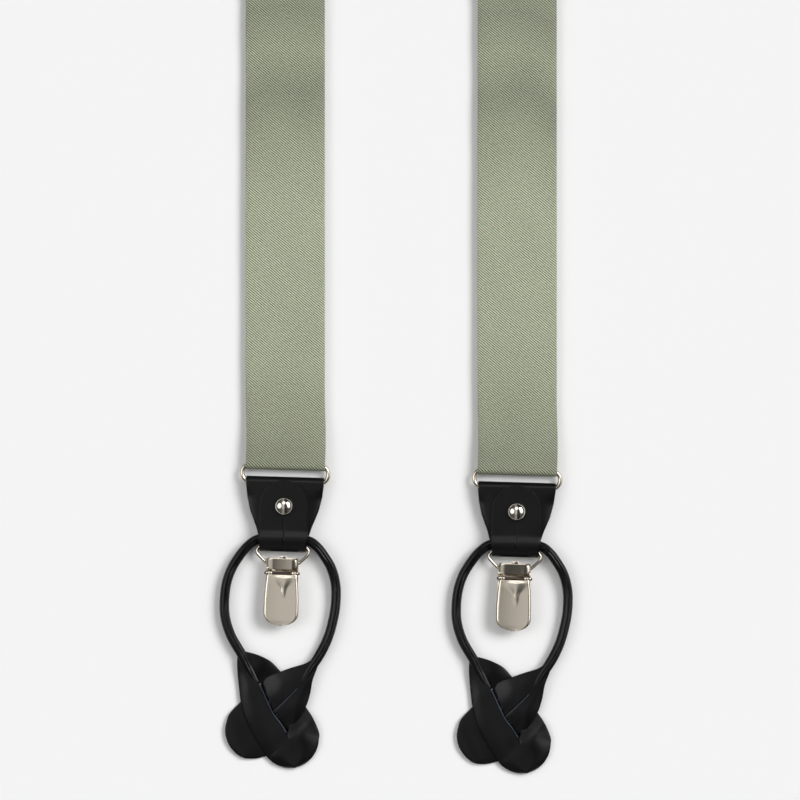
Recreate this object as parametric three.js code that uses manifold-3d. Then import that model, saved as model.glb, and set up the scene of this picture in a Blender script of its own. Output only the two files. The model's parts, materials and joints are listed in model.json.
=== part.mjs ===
// Y-back suspenders with convertible ends, laid flat. Millimetres, +Z up, +Y towards the back end.
// Two front straps run up from their ends to a leather patch, and an elastic strap runs on from it.
// Each of the three ends hangs on a wire ring: a leather tab, a sprung clip and a leather button loop.
import * as THREE from "three";
import { mergeVertices } from "three/addons/utils/BufferGeometryUtils.js";
import Module from "manifold-3d";

const wasm = await Module();
wasm.setup();

// ---- Driving dimensions ----
const GAP = 0.3; // clearance between pieces that touch or run on each other

const STRAP_WIDTH = 35;
const STRAP_THICK = 1.0;
const FRONT_SPACING = 102.8; // between the two front straps' centre lines
const RIGHT_LET_OUT = 2.4; // how much further the right strap is let out
const END_TILT = -1.7; // degrees that each end hangs askew on its strap

const RING_LENGTH = 40.2;
const RING_HEIGHT = 9.7;
const RING_CORNER = 3.4;
const RING_WIRE = 2.0;

const LEATHER_THICK = 1.2;
const TAB_TOP_HALF = 17.2;
const TAB_LENGTH = 27.5; // from the ring's middle to where the shield has narrowed to the tongue
const TONGUE_HALF = 10.8;
const TONGUE_TIP = 2.8; // from the ring's middle down to the top of the tongue
const STUD_DROP = 14.3; // from the ring's middle down to the stud
const STUD_HEAD = 8.0;
const STUD_HEAD_HIGH = 3.6;
const STUD_POST = 3.0;
const STUD_FLANGE = 9.0;
const FLANGE_THICK = 0.5;

const CORD_THICK = 4.3;
const CORD_DROP = 28.6; // from the ring's middle down to the rolled cord inside the tab
const EAR_THICK = 1.5;
const EAR_SINK = 0.05; // how far the leaf layers run into each other, so that they are one solid

const BAIL_WIRE = 1.4;
const BAIL_DROP = 32.4;
const BAIL_HALF = 11.2;
const BAIL_FOOT_HALF = 6.9;
const BAIL_REACH = 7.6; // from the bail's top bar down to its bar in the clip

const CLIP_HALF = 7.1;
const CLIP_SHEET = 0.7;
const CLIP_HIGH = 7.0;
const CLIP_PIN = 1.2;
const CLIP_PIN_HALF = 7.8;
const LEVER_LENGTH = 22;
const LEVER_HALF = 7.45;

const ADJUSTER_Y = 246; // from the left ring's middle up to the adjuster's middle
const ADJUSTER_HALF = 20.2;
const ADJUSTER_LENGTH = 22;
const ADJUSTER_WIRE = 2.0;
const GATE_PIN = 1.6;
const ADJUSTER_WINDOW_HALF = 12;
const ADJUSTER_RIM = 6; // of the backing plate above and below its window

const PATCH_Y = 660; // from the left ring's middle up to the patch's middle
const PATCH_LENGTH = 76;
const PATCH_WIDE_HALF = 39;
const PATCH_NARROW_HALF = 21;
const ELASTIC_FREE = 150; // between the patch and the sewn hem
const HEM_LENGTH = 34; // from the back ring's middle to the end of the hem
const FLAP_LENGTH = 24; // from a ring's middle to the end of the flap that is sewn back
const TAIL_START = 34; // from the left ring's middle to the end of the strap's tail behind

// ---- Heights, each worked out from the pieces below it ----
const TAB_Z = FLANGE_THICK + GAP;
const RING_Z = TAB_Z + LEATHER_THICK + GAP + RING_WIRE / 2;
const WEB_Z = LEATHER_THICK + GAP;
const LOWER_Z = WEB_Z + STRAP_THICK + GAP;
const RING_BAR = (RING_HEIGHT - RING_WIRE) / 2;
const BACK_MID = TAB_Z + LEATHER_THICK / 2;
const SHIELD_MID = RING_Z + RING_WIRE / 2 + GAP + LEATHER_THICK / 2;
const TONGUE_MID = SHIELD_MID + LEATHER_THICK + GAP;
const CORD_Z = TAB_Z + LEATHER_THICK + GAP + CORD_THICK / 2;
const FOLD_MID = (BACK_MID + TONGUE_MID) / 2;
const BAIL_BAR = BAIL_DROP + BAIL_REACH;
const PIN_DROP = BAIL_BAR + 4.0;
const PIN_Z = CLIP_HIGH - 1.0;
const ADJUSTER_BAR_Z = LOWER_Z + STRAP_THICK + GAP + ADJUSTER_WIRE / 2;

// ---- Materials ----
const finish = (color, roughness, metalness) =>
  new THREE.MeshStandardMaterial({ color, roughness, metalness });
const twill = finish(0x9aa385, 0.6, 0);
const elastic = finish(0x24262a, 0.8, 0);
const leather = finish(0x1a1a1a, 0.5, 0);
const nickel = finish(0xc2b9a8, 0.22, 1);
const padPlastic = finish(0xe6e4de, 0.5, 0);

// ---- Solids ----
function toSolid(geometry) {
  const bare = geometry.clone();
  bare.deleteAttribute("normal");
  bare.deleteAttribute("uv");
  const merged = mergeVertices(bare, 1e-4);
  const vertProperties = merged.attributes.position.array;
  const triVerts = new Uint32Array(merged.index.array);
  return new wasm.Manifold(new wasm.Mesh({ numProp: 3, vertProperties, triVerts }));
}

function toGeometry(solid) {
  const { vertProperties, triVerts } = solid.getMesh();
  const geometry = new THREE.BufferGeometry();
  geometry.setAttribute("position", new THREE.BufferAttribute(vertProperties, 3));
  geometry.setIndex(new THREE.BufferAttribute(triVerts, 1));
  const flat = geometry.toNonIndexed();
  flat.computeVertexNormals();
  return flat;
}

const joined = (...geometries) => geometries.map(toSolid).reduce((all, next) => all.add(next));

function mesh(name, shape, material) {
  const geometry = shape instanceof THREE.BufferGeometry ? shape : toGeometry(shape);
  const made = new THREE.Mesh(geometry, material);
  made.name = name;
  return made;
}

// ---- Outlines ----
const point = (x, y) => new THREE.Vector2(x, y);

function arc(x, y, radiusX, radiusY, fromDegrees, toDegrees, steps) {
  const points = [];
  for (let i = 0; i <= steps; i++) {
    const angle = THREE.MathUtils.degToRad(fromDegrees + ((toDegrees - fromDegrees) * i) / steps);
    points.push(point(x + radiusX * Math.cos(angle), y + radiusY * Math.sin(angle)));
  }
  return points;
}

// The outline of a strip of even thickness along a line of points.
function strip(points, thickness) {
  const offset = (side) =>
    points.map((here, i) => {
      const last = points.length - 1;
      const before = here.clone().sub(points[Math.max(i - 1, 0)]).normalize();
      const after = points[Math.min(i + 1, last)].clone().sub(here).normalize();
      const inward = i === 0 ? after : before;
      const outward = i === last ? before : after;
      const along = inward.clone().add(outward).normalize();
      const reach = (side * thickness) / 2 / along.dot(inward);
      return point(here.x - along.y * reach, here.y + along.x * reach);
    });
  return new THREE.Shape([...offset(-1), ...offset(1).reverse()]);
}

// A convex outline moved outwards by a distance, or inwards if it is negative.
function grown(corners, distance) {
  return corners.map((here, i) => {
    const count = corners.length;
    const before = here.clone().sub(corners[(i + count - 1) % count]).normalize();
    const after = corners[(i + 1) % count].clone().sub(here).normalize();
    const normal = point(before.y + after.y, -before.x - after.x).normalize();
    const reach = distance / normal.dot(point(before.y, -before.x));
    return point(here.x + normal.x * reach, here.y + normal.y * reach);
  });
}

// An outline with its corners rounded, added to a Shape or a Path. Corners go anticlockwise.
function rounded(corners, radius, outline = new THREE.Shape()) {
  corners.forEach((here, i) => {
    const count = corners.length;
    const before = corners[(i + count - 1) % count].clone().sub(here).normalize();
    const after = corners[(i + 1) % count].clone().sub(here).normalize();
    const half = Math.acos(THREE.MathUtils.clamp(before.dot(after), -1, 1)) / 2;
    const cut = radius / Math.tan(half);
    const start = here.clone().addScaledVector(before, cut);
    const end = here.clone().addScaledVector(after, cut);
    const middle = before.clone().add(after).normalize();
    const centre = here.clone().addScaledVector(middle, radius / Math.sin(half));
    const from = Math.atan2(start.y - centre.y, start.x - centre.x);
    const to = Math.atan2(end.y - centre.y, end.x - centre.x);
    if (i === 0) outline.moveTo(start.x, start.y);
    else outline.lineTo(start.x, start.y);
    outline.absarc(centre.x, centre.y, radius, from, to, false);
  });
  outline.closePath();
  return outline;
}

const rectangle = (x0, y0, x1, y1) => [point(x0, y0), point(x1, y0), point(x1, y1), point(x0, y1)];

// The hull of two circles, such as a leaf that widens to a round ear.
function leaf(x0, y0, radius0, x1, y1, radius1) {
  const lean = Math.atan2(y1 - y0, x1 - x0);
  const open = Math.acos((radius0 - radius1) / Math.hypot(x1 - x0, y1 - y0));
  const outline = new THREE.Shape();
  outline.absarc(x0, y0, radius0, lean + open, lean - open + 2 * Math.PI, false);
  outline.absarc(x1, y1, radius1, lean - open, lean + open, false);
  outline.closePath();
  return outline;
}

// ---- Shapes from outlines ----
function plate(outline, bottom, top, curveSegments = 4) {
  const depth = top - bottom;
  const settings = { depth, bevelEnabled: false, steps: 1, curveSegments };
  return new THREE.ExtrudeGeometry(outline, settings).translate(0, 0, bottom);
}

// An outline drawn along +Y and up, extruded across from x = from to x = to.
function across(outline, from, to, curveSegments = 3) {
  const settings = { depth: to - from, bevelEnabled: false, steps: 1, curveSegments };
  const basis = new THREE.Matrix4().makeBasis(
    new THREE.Vector3(0, 1, 0),
    new THREE.Vector3(0, 0, 1),
    new THREE.Vector3(1, 0, 0),
  );
  const geometry = new THREE.ExtrudeGeometry(outline, settings).translate(0, 0, from);
  return geometry.applyMatrix4(basis);
}

const block = (x0, x1, y0, y1, z0, z1) => plate(new THREE.Shape(rectangle(x0, y0, x1, y1)), z0, z1);

function rod(radius, from, to, y, z, sides = 12) {
  const geometry = new THREE.CylinderGeometry(radius, radius, to - from, sides);
  return geometry.rotateZ(Math.PI / 2).translate((from + to) / 2, y, z);
}

// A flat closed loop of round wire, as a loop with chamfered edges.
function wireLoop(centreLine, corner, wire, z) {
  const chamfer = (wire / 2) * (2 - Math.SQRT2);
  const outline = rounded(grown(centreLine, wire / 2), corner + wire / 2);
  const inside = rounded(grown(centreLine, -wire / 2), Math.max(corner - wire / 2, 0.2), new THREE.Path());
  outline.holes.push(inside);
  const settings = {
    depth: wire - 2 * chamfer,
    bevelEnabled: true,
    bevelThickness: chamfer,
    bevelSize: chamfer,
    bevelOffset: -chamfer,
    bevelSegments: 1,
    curveSegments: 2,
  };
  return new THREE.ExtrudeGeometry(outline, settings).translate(0, 0, z - wire / 2 + chamfer);
}

// A strap's line where it folds round a bar: flap behind, round the bar, and on along the front.
function strapFold(barY, barZ, wire, flapEnd, front) {
  const radius = wire / 2 + GAP + STRAP_THICK / 2;
  return [
    point(flapEnd, barZ - radius),
    ...arc(barY, barZ, radius, radius, 270, 90, 6),
    ...front,
  ];
}

// ---- Ring ----
function ring() {
  const half = (RING_LENGTH - RING_WIRE) / 2;
  const centreLine = rectangle(-half, -RING_BAR, half, RING_BAR);
  return wireLoop(centreLine, RING_CORNER - RING_WIRE / 2, RING_WIRE, RING_Z);
}

// ---- Leather tab: a shield folded over the ring, a folded strip and a tongue that closes on the stud ----
function leatherTab() {
  const foldRadius = RING_WIRE / 2 + GAP + LEATHER_THICK / 2;
  const shieldLine = [
    point(-TAB_LENGTH + 3, SHIELD_MID),
    ...arc(-RING_BAR, RING_Z, foldRadius, foldRadius, 90, -90, 6),
    point(-TAB_LENGTH, BACK_MID),
  ];
  const shieldOutline = new THREE.Shape();
  shieldOutline.moveTo(TAB_TOP_HALF, 0);
  shieldOutline.lineTo(-TAB_TOP_HALF, 0);
  const waist = TAB_TOP_HALF - 2.7;
  const foot = TONGUE_HALF + 0.2;
  const third = TAB_LENGTH / 3;
  shieldOutline.bezierCurveTo(
    -TAB_TOP_HALF - 0.2, -third, -waist, -2 * third - 0.5, -foot, -TAB_LENGTH - 1,
  );
  shieldOutline.lineTo(foot, -TAB_LENGTH - 1);
  shieldOutline.bezierCurveTo(waist, -2 * third - 0.5, TAB_TOP_HALF + 0.2, -third, TAB_TOP_HALF, 0);
  const high = TONGUE_MID + CORD_THICK;
  const shieldSheet = toSolid(across(strip(shieldLine, LEATHER_THICK), -TAB_TOP_HALF - 1, TAB_TOP_HALF + 1));
  const shield = shieldSheet.intersect(toSolid(plate(shieldOutline, 0, high, 5)));

  const overCord = CORD_Z + CORD_THICK / 2 + GAP + LEATHER_THICK / 2 + 0.05;
  const foldFace = BAIL_DROP - 0.4;
  const foldReach = BAIL_WIRE / 2 + GAP + 0.4 + LEATHER_THICK / 2;
  const tongueLine = [
    point(-TAB_LENGTH + 3, BACK_MID),
    ...arc(-foldFace, FOLD_MID, foldReach, TONGUE_MID - FOLD_MID, 270, 90, 10),
    point(-CORD_DROP - 2, (TONGUE_MID + overCord) / 2 - 0.1),
    point(-CORD_DROP, overCord),
    point(-CORD_DROP + 2, (TONGUE_MID + overCord) / 2 - 0.1),
    point(-CORD_DROP + 3.4, TONGUE_MID),
    point(-TONGUE_TIP, TONGUE_MID),
  ];
  const narrow = BAIL_HALF - BAIL_WIRE / 2 - GAP;
  const shoulder = -CORD_DROP - CORD_THICK / 2;
  const bottom = -foldFace - foldReach - LEATHER_THICK;
  const tongueOutline = new THREE.Shape();
  tongueOutline.absarc(0, -TONGUE_TIP - TONGUE_HALF, TONGUE_HALF, 0, Math.PI, false);
  tongueOutline.lineTo(-TONGUE_HALF, shoulder);
  tongueOutline.lineTo(-narrow, shoulder - 0.6);
  tongueOutline.lineTo(-narrow, bottom);
  tongueOutline.lineTo(narrow, bottom);
  tongueOutline.lineTo(narrow, shoulder - 0.6);
  tongueOutline.lineTo(TONGUE_HALF, shoulder);
  tongueOutline.closePath();
  const tongueSheet = toSolid(across(strip(tongueLine, LEATHER_THICK), -TONGUE_HALF - 1, TONGUE_HALF + 1));
  const tongue = tongueSheet.intersect(toSolid(plate(tongueOutline, 0, high, 6)));

  const hole = new THREE.CylinderGeometry(STUD_POST / 2 + GAP, STUD_POST / 2 + GAP, 3 * high, 16);
  const stud = toSolid(hole.rotateX(Math.PI / 2).translate(0, -STUD_DROP, 0));
  const slitTop = TONGUE_MID - LEATHER_THICK / 2 - GAP / 2;
  const slit = toSolid(block(-0.2, 0.2, -CORD_DROP - 0.5, -STUD_DROP, slitTop, high));
  return shield.add(tongue).subtract(stud).subtract(slit);
}

// ---- Stud: a flanged base through the leather, and a ball head screwed on from the front ----
const SHIELD_TOP = SHIELD_MID + LEATHER_THICK / 2;
const SCREW = STUD_POST / 3; // the screw's radius
const HEAD_BOTTOM = SHIELD_TOP + 2 * GAP;

function turned(profile, sides = 14) {
  const points = profile.map(([radius, z]) => point(radius, z));
  return new THREE.LatheGeometry(points, sides).rotateX(Math.PI / 2);
}

function studBase() {
  const screwTop = HEAD_BOTTOM + 3;
  return turned([
    [0, 0],
    [STUD_FLANGE / 2, 0],
    [STUD_FLANGE / 2, FLANGE_THICK],
    [STUD_POST / 2, FLANGE_THICK],
    [STUD_POST / 2, SHIELD_TOP],
    [SCREW, SHIELD_TOP],
    [SCREW, screwTop],
    [0, screwTop],
  ]).translate(0, -STUD_DROP, 0);
}

function studHead() {
  const ballZ = TONGUE_MID + LEATHER_THICK / 2 + GAP + STUD_HEAD_HIGH / 2;
  const bore = SCREW + GAP;
  const boreTop = HEAD_BOTTOM + 3 + GAP;
  const neckAngle = Math.asin(STUD_POST / STUD_HEAD) - Math.PI / 2;
  const profile = [[0, boreTop], [bore, boreTop], [bore, HEAD_BOTTOM], [STUD_POST / 2, HEAD_BOTTOM]];
  const steps = 5;
  for (let i = 0; i < steps; i++) {
    const angle = neckAngle + ((Math.PI / 2 - neckAngle) * i) / steps;
    profile.push([(STUD_HEAD / 2) * Math.cos(angle), ballZ + (STUD_HEAD_HIGH / 2) * Math.sin(angle)]);
  }
  profile.push([0, ballZ + STUD_HEAD_HIGH / 2]);
  return turned(profile).translate(0, -STUD_DROP, 0);
}

// ---- Button loop: a rolled cord whose two ends open into flat leaves, each through the other's slit ----
function buttonLoop() {
  const low = CORD_THICK / 2 + 0.1;
  const route = [
    [-13.0, -87.0, low],
    [-17.2, -80.4, low],
    [-21.9, -72.6, low],
    [-24.6, -65.0, low],
    [-25.3, -58.0, low],
    [-24.6, -50.0, low + 0.3],
    [-22.2, -42.0, low + 1.2],
    [-18.2, -35.0, CORD_Z - 0.3],
    [-14.6, -30.6, CORD_Z],
    [-10.8, -CORD_DROP, CORD_Z],
    [-5.4, -CORD_DROP, CORD_Z],
    [5.4, -CORD_DROP, CORD_Z],
    [10.8, -CORD_DROP, CORD_Z],
    [14.4, -30.4, CORD_Z],
    [17.9, -34.4, CORD_Z - 0.3],
    [21.4, -40.0, low + 1.4],
    [23.6, -47.0, low + 0.4],
    [24.1, -54.0, low],
    [23.5, -62.0, low],
    [21.3, -71.5, low],
    [18.0, -79.4, low],
    [13.8, -85.5, low],
  ];
  const path = new THREE.CatmullRomCurve3(route.map((p) => new THREE.Vector3(...p)), false, "centripetal");
  const section = new THREE.Shape();
  section.absarc(0, 0, CORD_THICK / 2, 0, 2 * Math.PI, false);
  const cord = new THREE.ExtrudeGeometry(section, {
    steps: 38,
    curveSegments: 4,
    bevelEnabled: false,
    extrudePath: path,
  });
  const leftLeaf = leaf(-12.5, -88.5, 7.5, 5.3, -117.2, 12.9);
  const rightLeaf = leaf(9.0, -90.5, 7.5, -10.7, -114.2, 12.6);
  // The slit in the left leaf: the right leaf lies over it on one side and under it on the other.
  const slit = [point(-13, -87.4), point(-5.3, -100.9), point(1.3, -111.0), point(9, -121)];
  const overSide = new THREE.Shape([...slit, point(40, -121), point(40, -60), point(-13, -60)]);
  const underSide = new THREE.Shape([...slit, point(9, -140), point(-50, -140), point(-50, -87.4)]);
  const layers = [0, 1, 2].map((layer) => layer * EAR_THICK);
  const middle = toSolid(plate(leftLeaf, layers[1], layers[2], 8));
  const over = toSolid(plate(rightLeaf, layers[2] - EAR_SINK, layers[2] + EAR_THICK, 8));
  const under = toSolid(plate(rightLeaf, layers[0], layers[1] + EAR_SINK, 8));
  const overCut = over.intersect(toSolid(plate(overSide, -1, 3 * CORD_THICK)));
  const underCut = under.intersect(toSolid(plate(underSide, -1, 3 * CORD_THICK)));
  return toSolid(cord).add(middle).add(overCut).add(underCut);
}

// ---- Bail: the wire loop between the tab's fold and the clip ----
function bail() {
  const centreLine = [
    point(-BAIL_FOOT_HALF, -BAIL_BAR),
    point(BAIL_FOOT_HALF, -BAIL_BAR),
    point(BAIL_HALF, -BAIL_DROP - 2.6),
    point(BAIL_HALF, -BAIL_DROP),
    point(-BAIL_HALF, -BAIL_DROP),
    point(-BAIL_HALF, -BAIL_DROP - 2.6),
  ];
  return wireLoop(centreLine, 0.9, BAIL_WIRE, FOLD_MID);
}

// ---- Clip ----
const PIN_Y = -PIN_DROP;
const CLIP_TOP = -BAIL_BAR + 2.5;
const PIN_HOLE = CLIP_PIN / 2 + GAP;
const EYE = PIN_HOLE + 0.6;
const LEVER_TOP = PIN_Z + EYE - 0.2;
const LEVER_START = PIN_Y - 0.9;
const LEVER_TIP = PIN_Y - 0.9 - LEVER_LENGTH;
const CHEEK_IN = CLIP_HALF - CLIP_SHEET;
const LEVER_CHEEK = CHEEK_IN - GAP;
const JAW_CHEEK = LEVER_CHEEK - CLIP_SHEET - GAP;
const PAD_THICK = 0.9;
const LOWER_PAD = CLIP_SHEET + GAP;
const UPPER_PAD = LOWER_PAD + PAD_THICK + GAP;
const JAW_BOTTOM = UPPER_PAD + PAD_THICK + GAP;
const BRIDGE_EDGE = PIN_Y + EYE + GAP;

function tongueShape(half, start, tip) {
  const outline = new THREE.Shape();
  outline.moveTo(-half, start);
  outline.lineTo(-half, tip + half);
  outline.absarc(0, tip + half, half, Math.PI, 2 * Math.PI, false);
  outline.lineTo(half, start);
  outline.closePath();
  return outline;
}

// A side plate with a round eye on the pin, reaching from the eye to a foot between two heights.
function cheek(footStart, footEnd, footBottom, footTop, eye, outside) {
  const outline = new THREE.Shape();
  outline.moveTo(footStart, footBottom);
  outline.lineTo(footStart, footTop);
  outline.absarc(PIN_Y, PIN_Z, eye, Math.PI, 0, true);
  outline.lineTo(footEnd, footTop);
  outline.lineTo(footEnd, footBottom);
  outline.closePath();
  return [-1, 1].map((side) => {
    const edges = [side * outside, side * (outside - CLIP_SHEET)].sort((a, b) => a - b);
    return across(outline, ...edges);
  });
}

const pinBore = () => toSolid(rod(PIN_HOLE, -2 * CLIP_HALF, 2 * CLIP_HALF, PIN_Y, PIN_Z));

function clipBody() {
  const base = plate(tongueShape(CLIP_HALF, CLIP_TOP, LEVER_TIP + 2.4), 0, CLIP_SHEET);
  const cheeks = cheek(PIN_Y - 1.9, BRIDGE_EDGE + 0.8, 0, CLIP_SHEET + 1, EYE - 0.2, CLIP_HALF);
  const bridge = rounded(rectangle(-CLIP_HALF, BRIDGE_EDGE, CLIP_HALF, CLIP_TOP), 0.6);
  const bridgePlate = plate(bridge, CLIP_HIGH - CLIP_SHEET, CLIP_HIGH);
  const posts = [-CLIP_HALF, CHEEK_IN].map((x) =>
    block(x, x + CLIP_SHEET, BRIDGE_EDGE, BRIDGE_EDGE + 0.8, 0, CLIP_HIGH - CLIP_SHEET / 2),
  );
  const wallHalf = BAIL_FOOT_HALF - BAIL_WIRE / 2 - 2 * GAP;
  const wall = block(-wallHalf, wallHalf, CLIP_TOP - CLIP_SHEET, CLIP_TOP, 0, CLIP_HIGH - CLIP_SHEET / 2);
  const lug = block(-1.75, 1.75, CLIP_TOP - 1, CLIP_TOP + 0.9, CLIP_HIGH - CLIP_SHEET, CLIP_HIGH);
  const teeth = [-4, -2, 0, 2, 4].map((x) =>
    block(x - 0.5, x + 0.5, LEVER_TIP + 3.2, LEVER_TIP + 4.0, CLIP_SHEET / 2, LOWER_PAD + PAD_THICK),
  );
  return joined(base, ...cheeks, bridgePlate, ...posts, wall, lug, ...teeth).subtract(pinBore());
}

function clipLever() {
  const outline = new THREE.Shape();
  const neck = CHEEK_IN - GAP;
  outline.moveTo(-neck, LEVER_START);
  outline.lineTo(-neck, LEVER_START - 1.2);
  outline.lineTo(-LEVER_HALF, LEVER_START - 8);
  outline.lineTo(-LEVER_HALF, LEVER_TIP + LEVER_HALF);
  outline.absarc(0, LEVER_TIP + LEVER_HALF, LEVER_HALF, Math.PI, 2 * Math.PI, false);
  outline.lineTo(LEVER_HALF, LEVER_START - 8);
  outline.lineTo(neck, LEVER_START - 1.2);
  outline.lineTo(neck, LEVER_START);
  outline.closePath();
  const face = plate(outline, LEVER_TOP - CLIP_SHEET, LEVER_TOP);
  const low = LEVER_TOP - CLIP_SHEET / 2;
  const side = new THREE.Shape();
  side.moveTo(LEVER_START - 5, low);
  side.lineTo(PIN_Y - EYE, PIN_Z - 0.4);
  side.absarc(PIN_Y, PIN_Z, EYE - 0.2, Math.PI + 0.5, 2.5 * Math.PI, false);
  side.lineTo(PIN_Y - 1, low);
  side.closePath();
  const sides = [-LEVER_CHEEK, LEVER_CHEEK - CLIP_SHEET].map((x) => across(side, x, x + CLIP_SHEET));
  return joined(face, ...sides).subtract(pinBore());
}

function clipJaw() {
  const start = PIN_Y - 1.2;
  const top = JAW_BOTTOM + CLIP_SHEET;
  const face = plate(tongueShape(JAW_CHEEK, start, LEVER_TIP + 3), JAW_BOTTOM, top);
  const cheeks = cheek(start - 3, start + 1.5, JAW_BOTTOM, top, EYE - 0.4, JAW_CHEEK);
  return joined(face, ...cheeks).subtract(pinBore());
}

function clipPad(bottom) {
  const half = JAW_CHEEK - 0.3;
  return plate(rounded(rectangle(-half, LEVER_TIP + 7, half, PIN_Y - 5), 1), bottom, bottom + PAD_THICK, 1);
}

const clipPin = () => rod(CLIP_PIN / 2, -CLIP_PIN_HALF, CLIP_PIN_HALF, PIN_Y, PIN_Z);

// ---- One whole end, about the middle of its ring ----
function end(name) {
  const group = new THREE.Group();
  group.add(
    mesh(name + "_ring", ring(), nickel),
    mesh(name + "_leather_tab", leatherTab(), leather),
    mesh(name + "_stud_base", studBase(), nickel),
    mesh(name + "_stud_head", studHead(), nickel),
    mesh(name + "_button_loop", buttonLoop(), leather),
    mesh(name + "_bail", bail(), nickel),
    mesh(name + "_clip_body", clipBody(), nickel),
    mesh(name + "_clip_lever", clipLever(), nickel),
    mesh(name + "_clip_jaw", clipJaw(), nickel),
    mesh(name + "_clip_pin", clipPin(), nickel),
    mesh(name + "_lower_pad", clipPad(LOWER_PAD), padPlastic),
    mesh(name + "_upper_pad", clipPad(UPPER_PAD), padPlastic),
  );
  group.rotation.z = THREE.MathUtils.degToRad(END_TILT);
  return group;
}

// ---- Straps ----
const FOLD_TOP = RING_Z + RING_WIRE / 2 + GAP + STRAP_THICK / 2;
const HALF_STRAP = STRAP_WIDTH / 2;

// The sewn end of a strap that holds a ring, turned with the ring.
function ringFold(runEnd, runZ) {
  const front = [point(RING_BAR + 4, FOLD_TOP - 0.3), point(FLAP_LENGTH - 5, runZ + 0.6)];
  const line = strapFold(RING_BAR, RING_Z, RING_WIRE, FLAP_LENGTH, [...front, point(runEnd, runZ)]);
  const tilt = THREE.MathUtils.degToRad(END_TILT);
  return across(strip(line, STRAP_THICK), -HALF_STRAP, HALF_STRAP).rotateZ(tilt);
}

// From the ring to the adjuster, folded round both.
function lowerStrap() {
  const runZ = LOWER_Z + STRAP_THICK / 2;
  const barY = ADJUSTER_Y - ADJUSTER_LENGTH / 2 + ADJUSTER_WIRE;
  const radius = ADJUSTER_WIRE / 2 + GAP + STRAP_THICK / 2;
  const line = [
    point(FLAP_LENGTH + 2, runZ),
    point(barY - 26, runZ),
    point(barY - 14, runZ + 1.8),
    ...arc(barY, ADJUSTER_BAR_Z, radius, radius, 90, -90, 6),
    point(barY - 13, runZ),
  ];
  const upper = across(strip(line, STRAP_THICK), -HALF_STRAP, HALF_STRAP);
  return joined(ringFold(FLAP_LENGTH + 4, runZ), upper);
}

const STRAP_END_Y = PATCH_Y - 5;
const STRAP_END_X = HALF_STRAP + 1.1;

// From its tail behind the lower strap, through the adjuster, to the patch. Side is -1 left, +1 right.
function upperStrap(side) {
  const centre = new THREE.CurvePath();
  const straightX = (side * FRONT_SPACING) / 2;
  const straightEnd = point(straightX, ADJUSTER_Y + 44);
  const stop = point(side * STRAP_END_X, STRAP_END_Y);
  const rise = stop.y - straightEnd.y;
  centre.add(new THREE.LineCurve(point(straightX, TAIL_START), straightEnd));
  const bend = new THREE.CubicBezierCurve(
    straightEnd,
    point(straightX, straightEnd.y + rise / 3),
    point(side * (STRAP_END_X + 12.4), stop.y - rise / 4),
    stop,
  );
  const line = [point(straightX, TAIL_START), ...bend.getPoints(16)];
  return plate(strip(line, STRAP_WIDTH), WEB_Z, WEB_Z + STRAP_THICK);
}

const BACK_RING_Y = PATCH_Y + PATCH_LENGTH / 2 + ELASTIC_FREE + HEM_LENGTH;

// The elastic stops short of the hem's end, which the tilt turns askew.
function backElastic() {
  const start = STRAP_END_Y + 4;
  const askew = HALF_STRAP * Math.abs(Math.sin(THREE.MathUtils.degToRad(END_TILT)));
  const stop = BACK_RING_Y - HEM_LENGTH - GAP - askew;
  return block(-HALF_STRAP, HALF_STRAP, start, stop, WEB_Z, WEB_Z + STRAP_THICK);
}

function backHem() {
  return ringFold(HEM_LENGTH, WEB_Z + STRAP_THICK / 2);
}

// ---- Patch: a Y-shaped leather shield, a front and a back sewn together over the straps ----
function patchOutline() {
  const bottom = PATCH_Y - PATCH_LENGTH / 2;
  const top = PATCH_Y + PATCH_LENGTH / 2;
  const outline = new THREE.Shape();
  outline.moveTo(-PATCH_WIDE_HALF, bottom);
  outline.quadraticCurveTo(-PATCH_WIDE_HALF / 2, bottom + 1, 0, bottom + 9);
  outline.quadraticCurveTo(PATCH_WIDE_HALF / 2, bottom + 1, PATCH_WIDE_HALF, bottom);
  outline.bezierCurveTo(
    PATCH_WIDE_HALF, PATCH_Y - 4, PATCH_NARROW_HALF, PATCH_Y + 4, PATCH_NARROW_HALF, top - 6,
  );
  outline.quadraticCurveTo(PATCH_NARROW_HALF, top, 0, top + 1);
  outline.quadraticCurveTo(-PATCH_NARROW_HALF, top, -PATCH_NARROW_HALF, top - 6);
  outline.bezierCurveTo(
    -PATCH_NARROW_HALF, PATCH_Y + 4, -PATCH_WIDE_HALF, PATCH_Y - 4, -PATCH_WIDE_HALF, bottom,
  );
  return outline;
}

// ---- Adjuster: a frame under the strap, and a toothed gate that bites it ----
const GATE_PIN_Y = ADJUSTER_Y + ADJUSTER_LENGTH / 2 - 2.5;
const GATE_PIN_Z = LOWER_Z + GATE_PIN / 2 + 1.1;
const RAIL = 1.2;

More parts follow.
